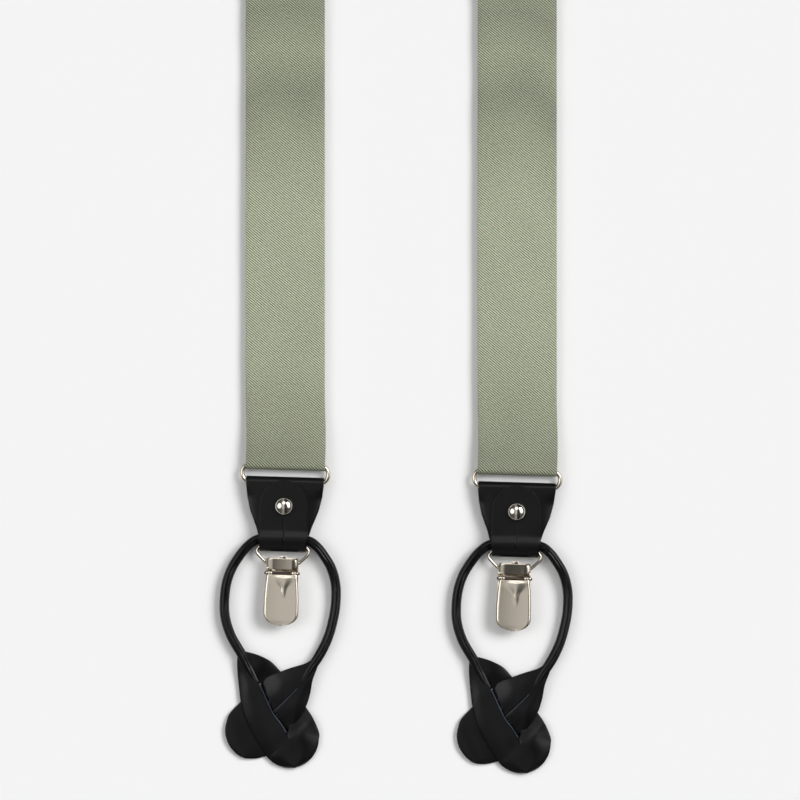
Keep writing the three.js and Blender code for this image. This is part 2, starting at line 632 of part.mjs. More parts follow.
function adjusterFrame() {
  const bottom = ADJUSTER_Y - ADJUSTER_LENGTH / 2;
  const top = ADJUSTER_Y + ADJUSTER_LENGTH / 2;
  const backing = new THREE.Shape(rectangle(-ADJUSTER_HALF, bottom, ADJUSTER_HALF, top));
  const windowHalf = ADJUSTER_WINDOW_HALF;
  const hole = rectangle(-windowHalf, bottom + ADJUSTER_RIM, windowHalf, top - ADJUSTER_RIM);
  backing.holes.push(new THREE.Path(hole));
  const barY = bottom + ADJUSTER_WIRE;
  const railTop = ADJUSTER_BAR_Z + ADJUSTER_WIRE / 2 + 0.3;
  const rails = [-ADJUSTER_HALF, ADJUSTER_HALF - RAIL].map((x) => {
    const side = new THREE.Shape(rectangle(bottom, 0, top, railTop));
    return across(side, x, x + RAIL);
  });
  const bar = rod(ADJUSTER_WIRE / 2, -ADJUSTER_HALF + RAIL / 2, ADJUSTER_HALF - RAIL / 2, barY, ADJUSTER_BAR_Z);
  const bore = rod(GATE_PIN / 2 + GAP, -2 * ADJUSTER_HALF, 2 * ADJUSTER_HALF, GATE_PIN_Y, GATE_PIN_Z);
  return joined(plate(backing, 0, LEATHER_THICK), ...rails, bar).subtract(toSolid(bore));
}

function adjusterGate() {
  const half = ADJUSTER_HALF - RAIL - GAP;
  const barrel = GATE_PIN / 2 + GAP + 0.8;
  const strapEnd = ADJUSTER_Y - ADJUSTER_LENGTH / 2 + ADJUSTER_WIRE * 1.5 + GAP + STRAP_THICK;
  const top = GATE_PIN_Z + barrel;
  const face = block(-half, half, strapEnd + GAP, GATE_PIN_Y, top - 1, top);
  const knuckle = rod(barrel, -half, half, GATE_PIN_Y, GATE_PIN_Z, 16);
  const toothTip = LOWER_Z;
  const teeth = [-12, -8, -4, 0, 4, 8, 12].map((x) =>
    block(x - 1, x + 1, GATE_PIN_Y - 2.6, GATE_PIN_Y - 1.2, toothTip, top - 0.5),
  );
  const bore = rod(GATE_PIN / 2 + GAP, -2 * half, 2 * half, GATE_PIN_Y, GATE_PIN_Z);
  return joined(face, knuckle, ...teeth).subtract(toSolid(bore));
}

const gatePin = () => rod(GATE_PIN / 2, -ADJUSTER_HALF, ADJUSTER_HALF, GATE_PIN_Y, GATE_PIN_Z);

// ---- Assembly ----
const suspenders = new THREE.Group();

[["left", -1, 0], ["right", 1, -RIGHT_LET_OUT]].forEach(([name, side, drop]) => {
  const lower = new THREE.Group();
  lower.position.set((side * FRONT_SPACING) / 2, drop, 0);
  lower.add(
    end(name),
    mesh(name + "_lower_strap", lowerStrap(), twill),
    mesh(name + "_adjuster_frame", adjusterFrame(), nickel),
    mesh(name + "_adjuster_gate", adjusterGate(), nickel),
    mesh(name + "_gate_pin", gatePin(), nickel),
  );
  suspenders.add(lower, mesh(name + "_upper_strap", upperStrap(side), twill));
});

const back = new THREE.Group();
back.position.y = BACK_RING_Y;
back.rotation.z = Math.PI;
back.add(end("back"), mesh("back_strap_hem", backHem(), elastic));
suspenders.add(
  back,
  mesh("back_elastic_strap", backElastic(), elastic),
  mesh("patch_back", plate(patchOutline(), 0, LEATHER_THICK, 6), leather),
  mesh("patch_front", plate(patchOutline(), LOWER_Z, LOWER_Z + LEATHER_THICK, 6), leather),
);
suspenders.position.y = -PATCH_Y;

const part = new THREE.Group();
part.add(suspenders);
export default part;
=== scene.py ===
# %% [markdown]
# # Suspenders with convertible ends
# Two twill straps run up from their ends, through metal adjusters, to a leather patch, and an elastic strap
# runs on from the patch. Each end hangs on a wire ring: a folded leather tab, a sprung clip on a wire bail,
# and a rolled leather loop whose two flat leaves pass through each other.
# The frame gives the place of every part, so each visible piece is built where its part is.

# %% Load the frame
import json
import math
import bmesh
import bpy
from mathutils import Matrix, Vector, noise


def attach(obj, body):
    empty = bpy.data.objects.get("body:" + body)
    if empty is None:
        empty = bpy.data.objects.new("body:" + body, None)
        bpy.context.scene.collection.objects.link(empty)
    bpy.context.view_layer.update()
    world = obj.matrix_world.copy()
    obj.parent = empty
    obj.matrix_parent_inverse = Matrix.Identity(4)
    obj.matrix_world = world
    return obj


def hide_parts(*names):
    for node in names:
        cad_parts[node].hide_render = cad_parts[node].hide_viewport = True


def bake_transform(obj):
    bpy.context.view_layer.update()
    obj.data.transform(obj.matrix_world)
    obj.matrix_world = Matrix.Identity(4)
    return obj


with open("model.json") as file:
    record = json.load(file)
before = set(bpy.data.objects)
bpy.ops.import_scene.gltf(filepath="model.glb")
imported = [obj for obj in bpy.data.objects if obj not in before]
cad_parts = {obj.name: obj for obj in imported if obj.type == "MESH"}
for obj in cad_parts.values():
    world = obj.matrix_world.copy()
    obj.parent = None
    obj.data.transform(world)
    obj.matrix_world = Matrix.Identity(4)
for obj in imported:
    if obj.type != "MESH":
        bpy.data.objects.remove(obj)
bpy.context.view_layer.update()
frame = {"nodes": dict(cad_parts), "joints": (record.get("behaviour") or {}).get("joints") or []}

print("parts in the frame:", len(frame["nodes"]))

# %% [markdown]
# The camera looks straight down on the two front ends, as a catalogue picture does. A long lens keeps the
# tall pieces from leaning outwards at the sides of the picture.

# %% Camera
MM = 0.001
VIEW_WIDTH = 354.4 * MM
VIEW_CENTRE = Vector((-0.54, -627.35, 4.0)) * MM
SENSOR = 36.0
LENS = 135.0

camera_data = bpy.data.cameras.new("camera")
camera_data.lens = LENS
camera_data.sensor_width = SENSOR
camera = bpy.data.objects.new("camera", camera_data)
camera.location = VIEW_CENTRE + Vector((0, 0, VIEW_WIDTH * LENS / SENSOR))
bpy.context.collection.objects.link(camera)
bpy.context.scene.camera = camera
bpy.context.scene.view_settings.view_transform = "Standard"
print("camera height in metres:", round(camera.location.z, 3))

# %% [markdown]
# Every end is the same set of pieces, turned a little on its strap. The frame's joints say where each ring is
# and which way it lies: the strap's bar and the tab's bar are at equal distances from the ring's middle.
# So a piece of an end is drawn in millimetres about its ring, and one matrix puts it in place.

# %% Where each end is
joints = {joint["name"]: joint for joint in frame["joints"]}


def end_place(name):
    """The matrix from millimetres about the ring's middle, +Y towards the strap, to the frame."""
    swing = joints[name + "_ring_swing"]
    middle = (Vector(swing["pos_m"]) + Vector(joints[name + "_tab_swing"]["pos_m"])) / 2
    right = -Vector(swing["axis"]).normalized()
    upward = Vector((-right.y, right.x, 0))
    place = Matrix((right, upward, (0, 0, 1))).transposed().to_4x4()
    place.translation = (middle.x, middle.y, 0)
    return place @ Matrix.Scale(MM, 4)


ENDS = {name: end_place(name) for name in ("left", "right", "back")}
for name, place in ENDS.items():
    print(name, "ring at", [round(v, 4) for v in place.translation])

# %% [markdown]
# ## Materials
# One function turns a hex colour to linear light. Another adds a node with its inputs, properties and ramp
# stops, returns one of its outputs, and may feed it on to the shader. A value that is the same all over a
# surface stays on the shader's own socket.

# %% Material helpers


def linear(hex_colour):
    """An sRGB hex colour as linear RGBA."""
    parts = [int(hex_colour[i:i + 2], 16) / 255 for i in (1, 3, 5)]
    return (*[p / 12.92 if p <= 0.04045 else ((p + 0.055) / 1.055) ** 2.4 for p in parts], 1)


def add(tree, kind, inputs=None, out=0, stops=(), feeds=None, **properties):
    """Adds a node and returns its output. An input is linked to a socket or set to a value, stops are a
    ramp's (position, colour) pairs, and feeds is a socket that the output also goes to."""
    node = tree.nodes.new("ShaderNode" + kind)
    for key, value in properties.items():
        setattr(node, key, value)
    for key, value in (inputs or {}).items():
        if isinstance(value, bpy.types.NodeSocket):
            tree.links.new(value, node.inputs[key])
        else:
            node.inputs[key].default_value = value
    for i, (position, colour) in enumerate(stops):
        marks = node.color_ramp.elements
        mark = marks[i] if i < len(marks) else marks.new(position)
        mark.position = position
        mark.color = linear(colour)
    if feeds is not None:
        tree.links.new(node.outputs[out], feeds)
    return node.outputs[out]


def new_material(name, roughness, colour, **sockets):
    """A material with its Principled shader, and constant values on the shader's own sockets."""
    material = bpy.data.materials.new(name)
    material.use_nodes = True
    tree = material.node_tree
    shader = tree.nodes["Principled BSDF"]
    shader.inputs["Base Color"].default_value = linear(colour)
    shader.inputs["Roughness"].default_value = roughness
    for key, value in sockets.items():
        shader.inputs[key.replace("_", " ")].default_value = value
    return material, tree, shader


print("sage green in linear light:", [round(v, 3) for v in linear("#9ba486")])

# %% [markdown]
# ### Cotton twill webbing
# The straps are woven in a steep twill: rounded ribs run down to the right at about 40 degrees, 0.88 mm
# apart. The yarn is sage green and a little silky; its colour is painted from the ribs' height, with painted
# shade in the furrows between them and a painted highlight on their tops.
# The pattern follows the cloth through its folds, so it reads the UV map, which holds metres. A dot product
# turns the two lengths into a distance across the ribs, and a ping-pong wave makes each rib. A tone stored on
# the mesh is multiplied in: on the lower straps it is painted shade, darker bands along the strap where slow
# waves and folds in the webbing would turn it from the light; on the upper straps it is a slow random tone.

# %% Twill
def cos_deg(angle):
    return math.cos(math.radians(angle))


def sin_deg(angle):
    return math.sin(math.radians(angle))


RIB_PITCH = 0.88 * MM
RIB_SLOPE = 40  # degrees
RIB_ACROSS = (sin_deg(RIB_SLOPE), cos_deg(RIB_SLOPE), 0)
RIB_ALONG = (cos_deg(RIB_SLOPE), -sin_deg(RIB_SLOPE), 0)
YARN_PITCH = 0.42 * MM  # the single yarns along a rib
# painted shade in the furrows, painted highlight on the tops of the ribs
RIB_PAINTED_SHADE = [(0.17, "#373e2a"), (0.36, "#868e70"), (0.58, "#d5dbbf")]  # from the furrows to the tops of the ribs
# (mm above the ring, painted shade: the share of the cloth's colour left)
STRAP_PAINTED_SHADE = [(0, 0.60), (10, 0.62), (28, 0.77), (46, 0.92), (64, 0.97), (81, 1.0), (117, 1.0), (134, 0.91),
           (152, 0.82), (163, 0.68), (170, 0.63), (178, 0.72), (188, 0.84), (198, 0.72), (206, 0.62),
           (220, 0.8), (300, 1.0)]


def twill_material():
    material, tree, shader = new_material("cotton_twill_sage", 0.55, "#9ba486", Sheen_Weight=0.25,
                                          Sheen_Roughness=0.4)
    cloth = add(tree, "UVMap", uv_map="cloth")
    wander = add(tree, "TexNoise", {"Vector": cloth, "Scale": 260.0, "Detail": 2.0})
    drift = add(tree, "Math", {0: wander, 1: 0.5}, operation="MULTIPLY")
    across = add(tree, "VectorMath", {0: cloth, 1: RIB_ACROSS}, "Value", operation="DOT_PRODUCT")
    ribs = add(tree, "Math", {0: across, 1: 1 / RIB_PITCH, 2: drift}, operation="MULTIPLY_ADD")
    wave = add(tree, "Math", {0: ribs, 1: 0.5}, operation="PINGPONG")
    along = add(tree, "VectorMath", {0: cloth, 1: RIB_ALONG}, "Value", operation="DOT_PRODUCT")
    yarns = add(tree, "Math", {0: along, 1: 1 / YARN_PITCH}, operation="MULTIPLY")
    twist = add(tree, "Math", {0: yarns, 1: 0.5}, operation="PINGPONG")
    slubs = add(tree, "TexNoise", {"Vector": cloth, "Scale": 900.0, "Detail": 3.0})
    body = add(tree, "Math", {0: twist, 1: 0.2, 2: wave}, operation="MULTIPLY_ADD")
    height = add(tree, "Math", {0: slubs, 1: 0.2, 2: body}, operation="MULTIPLY_ADD")
    painted_ribs = add(tree, "ValToRGB", {"Fac": height}, stops=RIB_PAINTED_SHADE)
    # painted shade along the lower straps, and a random tone on the upper ones, multiplied into the colour
    painted_shade_tone = add(tree, "Attribute", attribute_name="painted_shade_tone")
    add(tree, "Mix", {0: 1.0, 6: painted_ribs, 7: painted_shade_tone}, 2, feeds=shader.inputs["Base Color"], data_type="RGBA",
        blend_type="MULTIPLY")
    add(tree, "Bump", {"Height": height, "Distance": 0.2 * MM}, feeds=shader.inputs["Normal"])
    return material


twill = twill_material()
print("twill ribs per centimetre:", round(0.01 / RIB_PITCH, 1))

# %% [markdown]
# ### Elastic web
# The back strap is rubber covered with black yarn: narrow lengthways cords, 1.25 mm apart, crossed by fine
# picks. Both come from the same UV map, one ping-pong wave for each. The colour is painted from their height:
# painted shade in the low parts and a painted highlight on the tops.

# %% Elastic web
CORD_PITCH = 1.25 * MM
PICK_PITCH = 0.6 * MM


def elastic_material():
    material, tree, shader = new_material("elastic_web_black", 0.75, "#26282b", Sheen_Weight=0.3)
    cloth = add(tree, "UVMap", uv_map="cloth")
    waves = []
    for axis, pitch in (("X", CORD_PITCH), ("Y", PICK_PITCH)):
        length = add(tree, "SeparateXYZ", {"Vector": cloth}, axis)
        count = add(tree, "Math", {0: length, 1: 1 / pitch}, operation="MULTIPLY")
        waves.append(add(tree, "Math", {0: count, 1: 0.5}, operation="PINGPONG"))
    height = add(tree, "Math", {0: waves[1], 1: 0.5, 2: waves[0]}, operation="MULTIPLY_ADD")
    # painted shade in the low parts of the weave, painted highlight on the tops
    add(tree, "ValToRGB", {"Fac": height}, stops=[(0.05, "#131416"), (0.4, "#26282b"), (0.75, "#3b3d40")],
        feeds=shader.inputs["Base Color"])
    add(tree, "Bump", {"Height": height, "Distance": 0.25 * MM, "Strength": 0.9},
        feeds=shader.inputs["Normal"])
    return material


elastic = elastic_material()
print("elastic cords across the web:", round(0.035 / CORD_PITCH))

# %% [markdown]
# ### Black leather
# The tabs, loops and patch are smooth black calf, pressed and lightly waxed. It is nearly black with a soft
# shine, a fine pebble grain about a third of a millimetre across, and slow changes in how much it shines.
# The cut edges are sanded and stained, so they are a little lighter and duller than the face. The buttonhole
# slits are cut raw: their fibres show blue grey.

# %% Leather
GRAIN = 0.34 * MM


def leather_material(name, face, light, roughness, grain_height):
    material, tree, shader = new_material(name, roughness, face, Specular_IOR_Level=0.23)
    place = add(tree, "TexCoord", out="Object")
    grain = add(tree, "TexVoronoi", {"Vector": place, "Scale": 1 / GRAIN}, "Distance", feature="SMOOTH_F1")
    pores = add(tree, "TexNoise", {"Vector": place, "Scale": 1800.0, "Detail": 4.0})
    clouds = add(tree, "TexNoise", {"Vector": place, "Scale": 55.0, "Detail": 4.0})
    add(tree, "ValToRGB", {"Fac": clouds}, stops=[(0.3, face), (0.75, light)],
        feeds=shader.inputs["Base Color"])
    add(tree, "MapRange", {"Value": clouds, "To Min": roughness - 0.05, "To Max": roughness + 0.08},
        feeds=shader.inputs["Roughness"])
    skin = add(tree, "Math", {0: pores, 1: 0.5, 2: grain}, operation="MULTIPLY_ADD")
    add(tree, "Bump", {"Height": skin, "Distance": grain_height, "Strength": 0.5},
        feeds=shader.inputs["Normal"])
    return material


leather = leather_material("black_calf_leather", "#09090a", "#0e0e0f", 0.27, 0.035 * MM)
leather_edge = leather_material("stained_leather_edge", "#45423e", "#646059", 0.5, 0.08 * MM)
raw_edge = leather_material("raw_cut_leather", "#29313c", "#566273", 0.85, 0.3 * MM)
CUT_LEATHER = [leather, leather_edge]  # the face, then the rim that Solidify and Bevel make
print("leather grains per centimetre:", round(0.01 / GRAIN))

# %% [markdown]
# ### Metal
# Ring, bail, clip, stud and adjusters are pressed steel with bright nickel on it. Nickel is a warm grey
# mirror. The pressed parts are barrel polished, so their shine is slightly cloudy, with fine rubbed lines.
# The clip's pin is plain oiled steel, darker and duller.

# %% Metal


def metal_material(name, colour, roughness, cloud):
    material, tree, shader = new_material(name, roughness, colour, Metallic=1.0)
    place = add(tree, "TexCoord", out="Object")
    clouds = add(tree, "TexNoise", {"Vector": place, "Scale": 180.0, "Detail": 5.0})
    add(tree, "MapRange", {"Value": clouds, "To Min": roughness, "To Max": roughness + cloud},
        feeds=shader.inputs["Roughness"])
    lines = add(tree, "Mapping", {"Vector": place, "Scale": (5200, 420, 420)})
    rubbed = add(tree, "TexNoise", {"Vector": lines, "Scale": 1.0, "Detail": 2.0})
    add(tree, "Bump", {"Height": rubbed, "Distance": 0.004 * MM, "Strength": 0.35},
        feeds=shader.inputs["Normal"])
    return material


nickel = metal_material("nickel_plate_polished", "#cfc6b6", 0.1, 0.1)
nickel_satin = metal_material("nickel_plate_satin", "#dcd3c3", 0.2, 0.08)
nickel_bright = metal_material("nickel_plate_bright", "#d8d2c6", 0.05, 0.04)
oiled_steel = metal_material("oiled_steel", "#5b544b", 0.35, 0.1)
print("metals:", nickel.name, nickel_satin.name, nickel_bright.name, oiled_steel.name)

# %% [markdown]
# ### Moulded pads
# The grips inside the clip are pale nylon mouldings, satin and slightly mottled. Thread and paper are made by
# the same function later: one fine noise on Object coordinates makes the tooth, and may mottle the colour.

# %% Pads


def toothed_material(name, roughness, colour, scale, depth, strength=1.0, mottle=(), detail=2.0, **sockets):
    material, tree, shader = new_material(name, roughness, colour, **sockets)
    place = add(tree, "TexCoord", out="Object")
    tooth = add(tree, "TexNoise", {"Vector": place, "Scale": scale, "Detail": detail})
    if mottle:
        add(tree, "ValToRGB", {"Fac": tooth}, stops=mottle, feeds=shader.inputs["Base Color"])
    add(tree, "Bump", {"Height": tooth, "Distance": depth, "Strength": strength},
        feeds=shader.inputs["Normal"])
    return material


nylon = toothed_material("moulded_nylon", 0.5, "#e6e4de", 700.0, 0.03 * MM, 0.5,
                         [(0.3, "#dcd9d1"), (0.7, "#eceae4")], 3.0)
print("pads:", nylon.name)

# %% [markdown]
# ## Shaping tools
# A strap or a strip of leather is a flat grid carried along a line: the line says how it folds, and each row
# has its own half width. A grid is the right start because its rows and columns then give the UV map for the
# weave. Solidify gives the thickness, and a narrow bevel rounds the cut edges.

# %% Lines


def smooth(points, steps):
    """A smooth line through the points, with this many steps between each two."""
    points = [Vector(p) for p in points]
    points = [2 * points[0] - points[1], *points, 2 * points[-1] - points[-2]]
    line = []
    for a, b, c, d in zip(points, points[1:], points[2:], points[3:]):
        for i in range(steps):
            t = i / steps
            line.append(0.5 * (2 * b + (c - a) * t + (2 * a - 5 * b + 4 * c - d) * t ** 2
                               + (3 * b - a - 3 * c + d) * t ** 3))
    return [*line, points[-2].copy()]


def dense(points, step):
    """The same line with points added, so that none are further apart than step."""
    points = [Vector(p) for p in points]
    line = [points[0]]
    for a, b in zip(points, points[1:]):
        count = max(1, math.ceil((b - a).length / step))
        line += [a.lerp(b, i / count) for i in range(1, count + 1)]
    return line


def turn(y, z, radius_y, radius_z, start, stop, steps, *rest):
    """Points round a bar at y, z, from one angle to another in degrees."""
    angles = [math.radians(start + (stop - start) * i / steps) for i in range(steps + 1)]
    return [(y + radius_y * math.cos(a), z + radius_z * math.sin(a), *rest) for a in angles]


def between(table, x):
    """Reads a table of (x, value) pairs, in rising order of x, in a straight line between entries."""
    for (x0, v0), (x1, v1) in zip(table, table[1:]):
        if x <= x1:
            return v0 + (v1 - v0) * max(0, x - x0) / (x1 - x0)
    return table[-1][1]


def ease(x):
    x = min(1, max(0, x))
    return x * x * (3 - 2 * x)


def ripple(x, y, seed):
    """Smooth noise between about -1 and 1, the same on every run."""
    return noise.noise(Vector((x, y, seed)))


def lengths(points):
    """How far along a line of vectors each of its points is."""
    run = [0]
    for a, b in zip(points, points[1:]):
        run.append(run[-1] + (b - a).length)
    return run


print("a smooth line through 3 points in 4 steps has", len(smooth([(0, 0), (1, 1), (2, 0)], 4)), "points")

# %% [markdown]
# Every piece goes through one function: it puts the mesh in place, gives it its finishes, and says which body
# the piece rides on and which parts it stands for. Modifiers serve as tools that are applied at once, so that
# the place can go into the finished mesh: Solidify makes the wall, and Bevel rounds the cut edges.

# %% Pieces
PIECES = []


def piece(name, mesh, place, materials, body, nodes, sharp=35):
    """An object at the origin with this mesh put in place, riding on a body for these parts."""
    mesh.transform(place)
    mesh.name = name
    made = bpy.data.objects.new(name, mesh)
    bpy.context.collection.objects.link(made)
    mesh.materials.clear()
    for material in materials:
        mesh.materials.append(material)
    mesh.shade_smooth()
    mesh.set_sharp_from_angle(angle=math.radians(sharp))
    if body:
        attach(made, body)
    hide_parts(*nodes)
    PIECES.append(made)
    return made


def end_piece(end, name, mesh, materials, body, node, sharp=35, place=None):
    """A piece on one of an end's own bodies, in place of one of the end's parts."""
    place = ENDS[end] if place is None else place
    return piece(f"{end}_{name}", mesh, place, materials, f"{end}_{body}", [f"{end}_{node}"], sharp)


def as_mesh(bm):
    mesh = bpy.data.meshes.new("shape")
    bm.to_mesh(mesh)
    bm.free()
    return mesh


def evaluated(holder):
    """The object's mesh once its modifiers or its bevel are applied. The object itself goes."""
    bpy.context.collection.objects.link(holder)
    final = bpy.data.meshes.new_from_object(holder.evaluated_get(bpy.context.evaluated_depsgraph_get()))
    bpy.data.objects.remove(holder)
    return final


def settled(bm, thickness=0, edge=0, rim=0, edge_angle=50):
    """The bmesh as a mesh in millimetres, with its wall and its rounded edges applied."""
    mesh = as_mesh(bm)
    holder = bpy.data.objects.new("shape", mesh)
    if thickness:
        wall = holder.modifiers.new("wall", "SOLIDIFY")
        wall.thickness = thickness
        wall.offset = 0
        wall.material_offset_rim = rim
    if rim:
        mesh.materials.append(leather)
        mesh.materials.append(leather_edge)
    if edge:
        rounding = holder.modifiers.new("edge", "BEVEL")
        rounding.width = edge
        rounding.segments = 2
        rounding.limit_method = "ANGLE"
        rounding.angle_limit = math.radians(edge_angle)
        rounding.material = rim if rim else -1
    return evaluated(holder)


print("CAD parts to replace or finish:", len(frame["nodes"]))

# %% [markdown]
# The grid is the start of everything flat or rolled: each of its points is carried to its place, with its own
# place in the UV map. A wire is a line with a round bevel, and a plate is an outline pulled up into a solid.

# %% Grids, wires and plates
# stands a plate up: its x, y and z become y, z and x
UPRIGHT = Matrix(((0, 0, 1, 0), (1, 0, 0, 0), (0, 1, 0, 0), (0, 0, 0, 1)))


def carried_grid(columns, rows, carry, bm=None):
    """A grid carried to carry(across, row) = point and UV, across from 0 to 1, row counted from 0."""
    if bm is None:
        bm = bmesh.new()
    cloth = bm.loops.layers.uv.get("cloth") or bm.loops.layers.uv.new("cloth")
    made = bmesh.ops.create_grid(bm, x_segments=columns, y_segments=rows, size=0.5)["verts"]
    places = {}
    for vert in made:
        places[vert] = carry(vert.co.x + 0.5, round((vert.co.y + 0.5) * rows))
    for face in {face for vert in made for face in vert.link_faces}:
        for loop in face.loops:
            loop[cloth].uv = places[loop.vert][1]
    for vert, (here, _) in places.items():
        vert.co = here
    return bm


def strip(rows, columns, bend=None):
    """A strip folded along rows of (y, z, half width), in millimetres. Its UV map holds metres."""
    run = [0]
    for a, b in zip(rows, rows[1:]):
        run.append(run[-1] + math.hypot(b[0] - a[0], b[1] - a[1]))

    def carry(across, row):
        y, z, half = rows[row]
        x = (2 * across - 1) * half
        here = Vector((x, y, z)) if bend is None else bend(x, y, z)
        return here, (x * MM, run[row] * MM)

    return carried_grid(columns, len(rows) - 1, carry), run[-1]


def wire(points, radius, closed=False, around=5):
    """A round wire along the points, as a mesh."""
    curve = bpy.data.curves.new("wire", "CURVE")
    curve.dimensions = "3D"
    spline = curve.splines.new("POLY")
    spline.points.add(len(points) - 1)
    for knot, here in zip(spline.points, points):
        knot.co = (*here, 1)
    spline.use_cyclic_u = closed
    curve.bevel_depth = radius
    curve.bevel_resolution = around
    curve.use_fill_caps = not closed
    return evaluated(bpy.data.objects.new("wire", curve))


def plate(bm, outline, low, high, turned=Matrix()):
    """A flat plate with this outline, from one height to another."""
    corners = [bm.verts.new((x, y, low)) for x, y in outline]
    face = bmesh.ops.contextual_create(bm, geom=corners)["faces"][0]
    grown = bmesh.ops.extrude_face_region(bm, geom=[face])["geom"]
    tops = [part for part in grown if isinstance(part, bmesh.types.BMVert)]
    bmesh.ops.translate(bm, verts=tops, vec=(0, 0, high - low))
    bmesh.ops.transform(bm, verts=[*corners, *tops], matrix=turned)


def tidy(bm):
    bmesh.ops.remove_doubles(bm, verts=bm.verts, dist=0.0005)
    bmesh.ops.recalc_face_normals(bm, faces=bm.faces)
    return bm


def joined(*meshes):
    """Several meshes as one bmesh."""
    bm = bmesh.new()
    for mesh in meshes:
        bm.from_mesh(mesh)
        bpy.data.meshes.remove(mesh)
    return bm


square = carried_grid(2, 2, lambda across, row: (Vector((across, row, 0)), (0, 0)))
print("a grid of 2 by 2 has", len(square.verts), "points")
square.free()

# %% [markdown]
# ## Wire ring and bail
# The ring is bent from 2 mm steel wire, butted and plated: long sides for the strap and the leather, and
# nearly half round ends. The bail is 1.4 mm wire, a flat D whose ends bulge past the leather and lean in to
# the clip. A smooth line with a round bevel is the same thing as bent wire.

# %% Ring and bail
RING_Z = 3.3
RING_HALF = 19.1
RING_BAR = 3.85
RING_WIRE = 2.0
BAIL_Z = 4.05
BAIL_WIRE = 1.4


def ring_points():
    corner = RING_BAR - 0.35
    points = []
    for centre, start in ((RING_HALF - corner, -90), (-RING_HALF + corner, 90)):
        points += [(centre + x, y) for x, y in turn(0, 0, corner, RING_BAR, start, start + 180, 24)]
    return [Vector((x, y, RING_Z)) for x, y in points]


def bail_points():
    half = [(0, -40.0), (5.6, -40.0), (6.8, -39.8), (7.9, -39.0), (9.6, -37.4), (10.8, -36.2), (11.4, -35.3),
            (11.5, -34.4), (11.2, -33.5), (10.6, -32.85), (9.7, -32.45), (0, -32.4)]
    whole = half + [(-x, y) for x, y in half[-2:0:-1]]
    loop = smooth([*whole, whole[0]], 6)[:-1]
    return [Vector((x, y, BAIL_Z)) for x, y in loop]

for end in ENDS:
    ring = wire(ring_points(), RING_WIRE / 2, closed=True)
    end_piece(end, "ring_wire", ring, [nickel], "ring_link", "ring")
    bail = wire(bail_points(), BAIL_WIRE / 2, closed=True)
    end_piece(end, "bail_wire", bail, [nickel], "bail_link", "bail")
print("ring", 2 * RING_HALF + RING_WIRE, "mm long")

# %% [markdown]
# ## Leather tab
# One piece of leather makes the whole tab. It starts as the front of the shield, folds back over the ring,
# runs down behind, turns up round the bail and the rolled loop, and ends as a round tongue held by the stud.
# So it is one strip on one line, with a half width at every point: a shield in front and behind, narrow
# inside the bail, and a half circle at the tongue's tip. A slit below the stud lets the tongue button.

# %% Tab
LEATHER = 1.2
BACK_Z = 1.4
SHIELD_Z = 5.2
TONGUE_Z = 6.7
TONGUE_HALF = 10.8
TIP_CENTRE = -13.6
STUD_Y = -14.3
SLIT = (-31.0, -18.9)
FRONT_OUTLINE = [(-26, 9.2), (-23.6, 10.6), (-20, 12.8), (-16.4, 14.3), (-12.8, 15.6), (-9, 16.5), (-5, 17.1),
                 (0, 17.2)]
BACK_OUTLINE = [(-31, 10.2), (-29.5, 10.5), (-27.5, 11.2), (-23.6, 12.4), (-20.5, 13.6), (-16.4, 15.2),
                (-10.5, 16.6), (-5, 17.2), (0, 17.2)]


def tab_rows():
    """Points (y, z, half width) from the front of the shield round to the tip of the tongue."""
    front = dense([(-24.6, SHIELD_Z), (-RING_BAR, SHIELD_Z)], 0.6)
    fold = turn(-RING_BAR, RING_Z, 1.9, 1.9, 84, -84, 14)
    back = dense([(-RING_BAR, BACK_Z), (-31.6, BACK_Z)], 0.6)
    shield = [(p[0], p[1], between(FRONT_OUTLINE, p[0])) for p in [*front, *fold]]
    shield += [(p[0], p[1], between(BACK_OUTLINE, p[0])) for p in back]
    foot = turn(-32.0, (BACK_Z + TONGUE_Z) / 2, 2.0, (TONGUE_Z - BACK_Z) / 2, 264, 96, 16, 10.3)
    rise = smooth([(-32.0, TONGUE_Z, 10.4), (-30.9, 7.05, 10.6), (-29.8, 7.45, 10.75), (-28.6, 7.6, 10.8),
                   (-27.4, 7.4, 10.8), (-26.3, 7.0, 10.8), (-25.0, 6.75, 10.8), (-23.5, TONGUE_Z, 10.8)], 3)
    face = dense([(-23.5, TONGUE_Z, TONGUE_HALF), (TIP_CENTRE, TONGUE_Z, TONGUE_HALF)], 0.6)[1:]
    tip = [(TIP_CENTRE + TONGUE_HALF * sin_deg(a), TONGUE_Z, TONGUE_HALF * cos_deg(a))
           for a in (*range(4, 81, 4), 83, 86, 88, 89.5)]
    return shield + foot + [tuple(p) for p in rise] + [tuple(p) for p in face] + tip


def tab_mesh():
    bm, length = strip(tab_rows(), 24)
    on_slit = [v for v in bm.verts if v.co.z > 6.2 and SLIT[0] < v.co.y < SLIT[1] and abs(v.co.x) < 0.01]
    seam = [e for e in bm.edges if e.verts[0] in on_slit and e.verts[1] in on_slit]
    bmesh.ops.split_edges(bm, edges=seam)
    for vert in bm.verts:
        if abs(vert.co.x) < 0.01 and vert.co.z > 6.2 and SLIT[0] < vert.co.y < SLIT[1]:
            middle = sum(face.calc_center_median().x for face in vert.link_faces)
            vert.co.x = math.copysign(0.1, middle)
    for vert in bm.verts:  # the leather is soft: its flat parts wave, and the shield's sides fall away
        vert.co.z += 0.12 * ripple(vert.co.x * 0.07, vert.co.y * 0.09, vert.co.z)
        if 3.5 < vert.co.z < 6.2 and vert.co.y > SLIT[0]:
            vert.co.z -= 1.1 * (max(0, abs(vert.co.x) - 9) / 8) ** 2 * ease((-5.5 - vert.co.y) / 6)
    return settled(bm, thickness=LEATHER, edge=0.24, rim=1), length


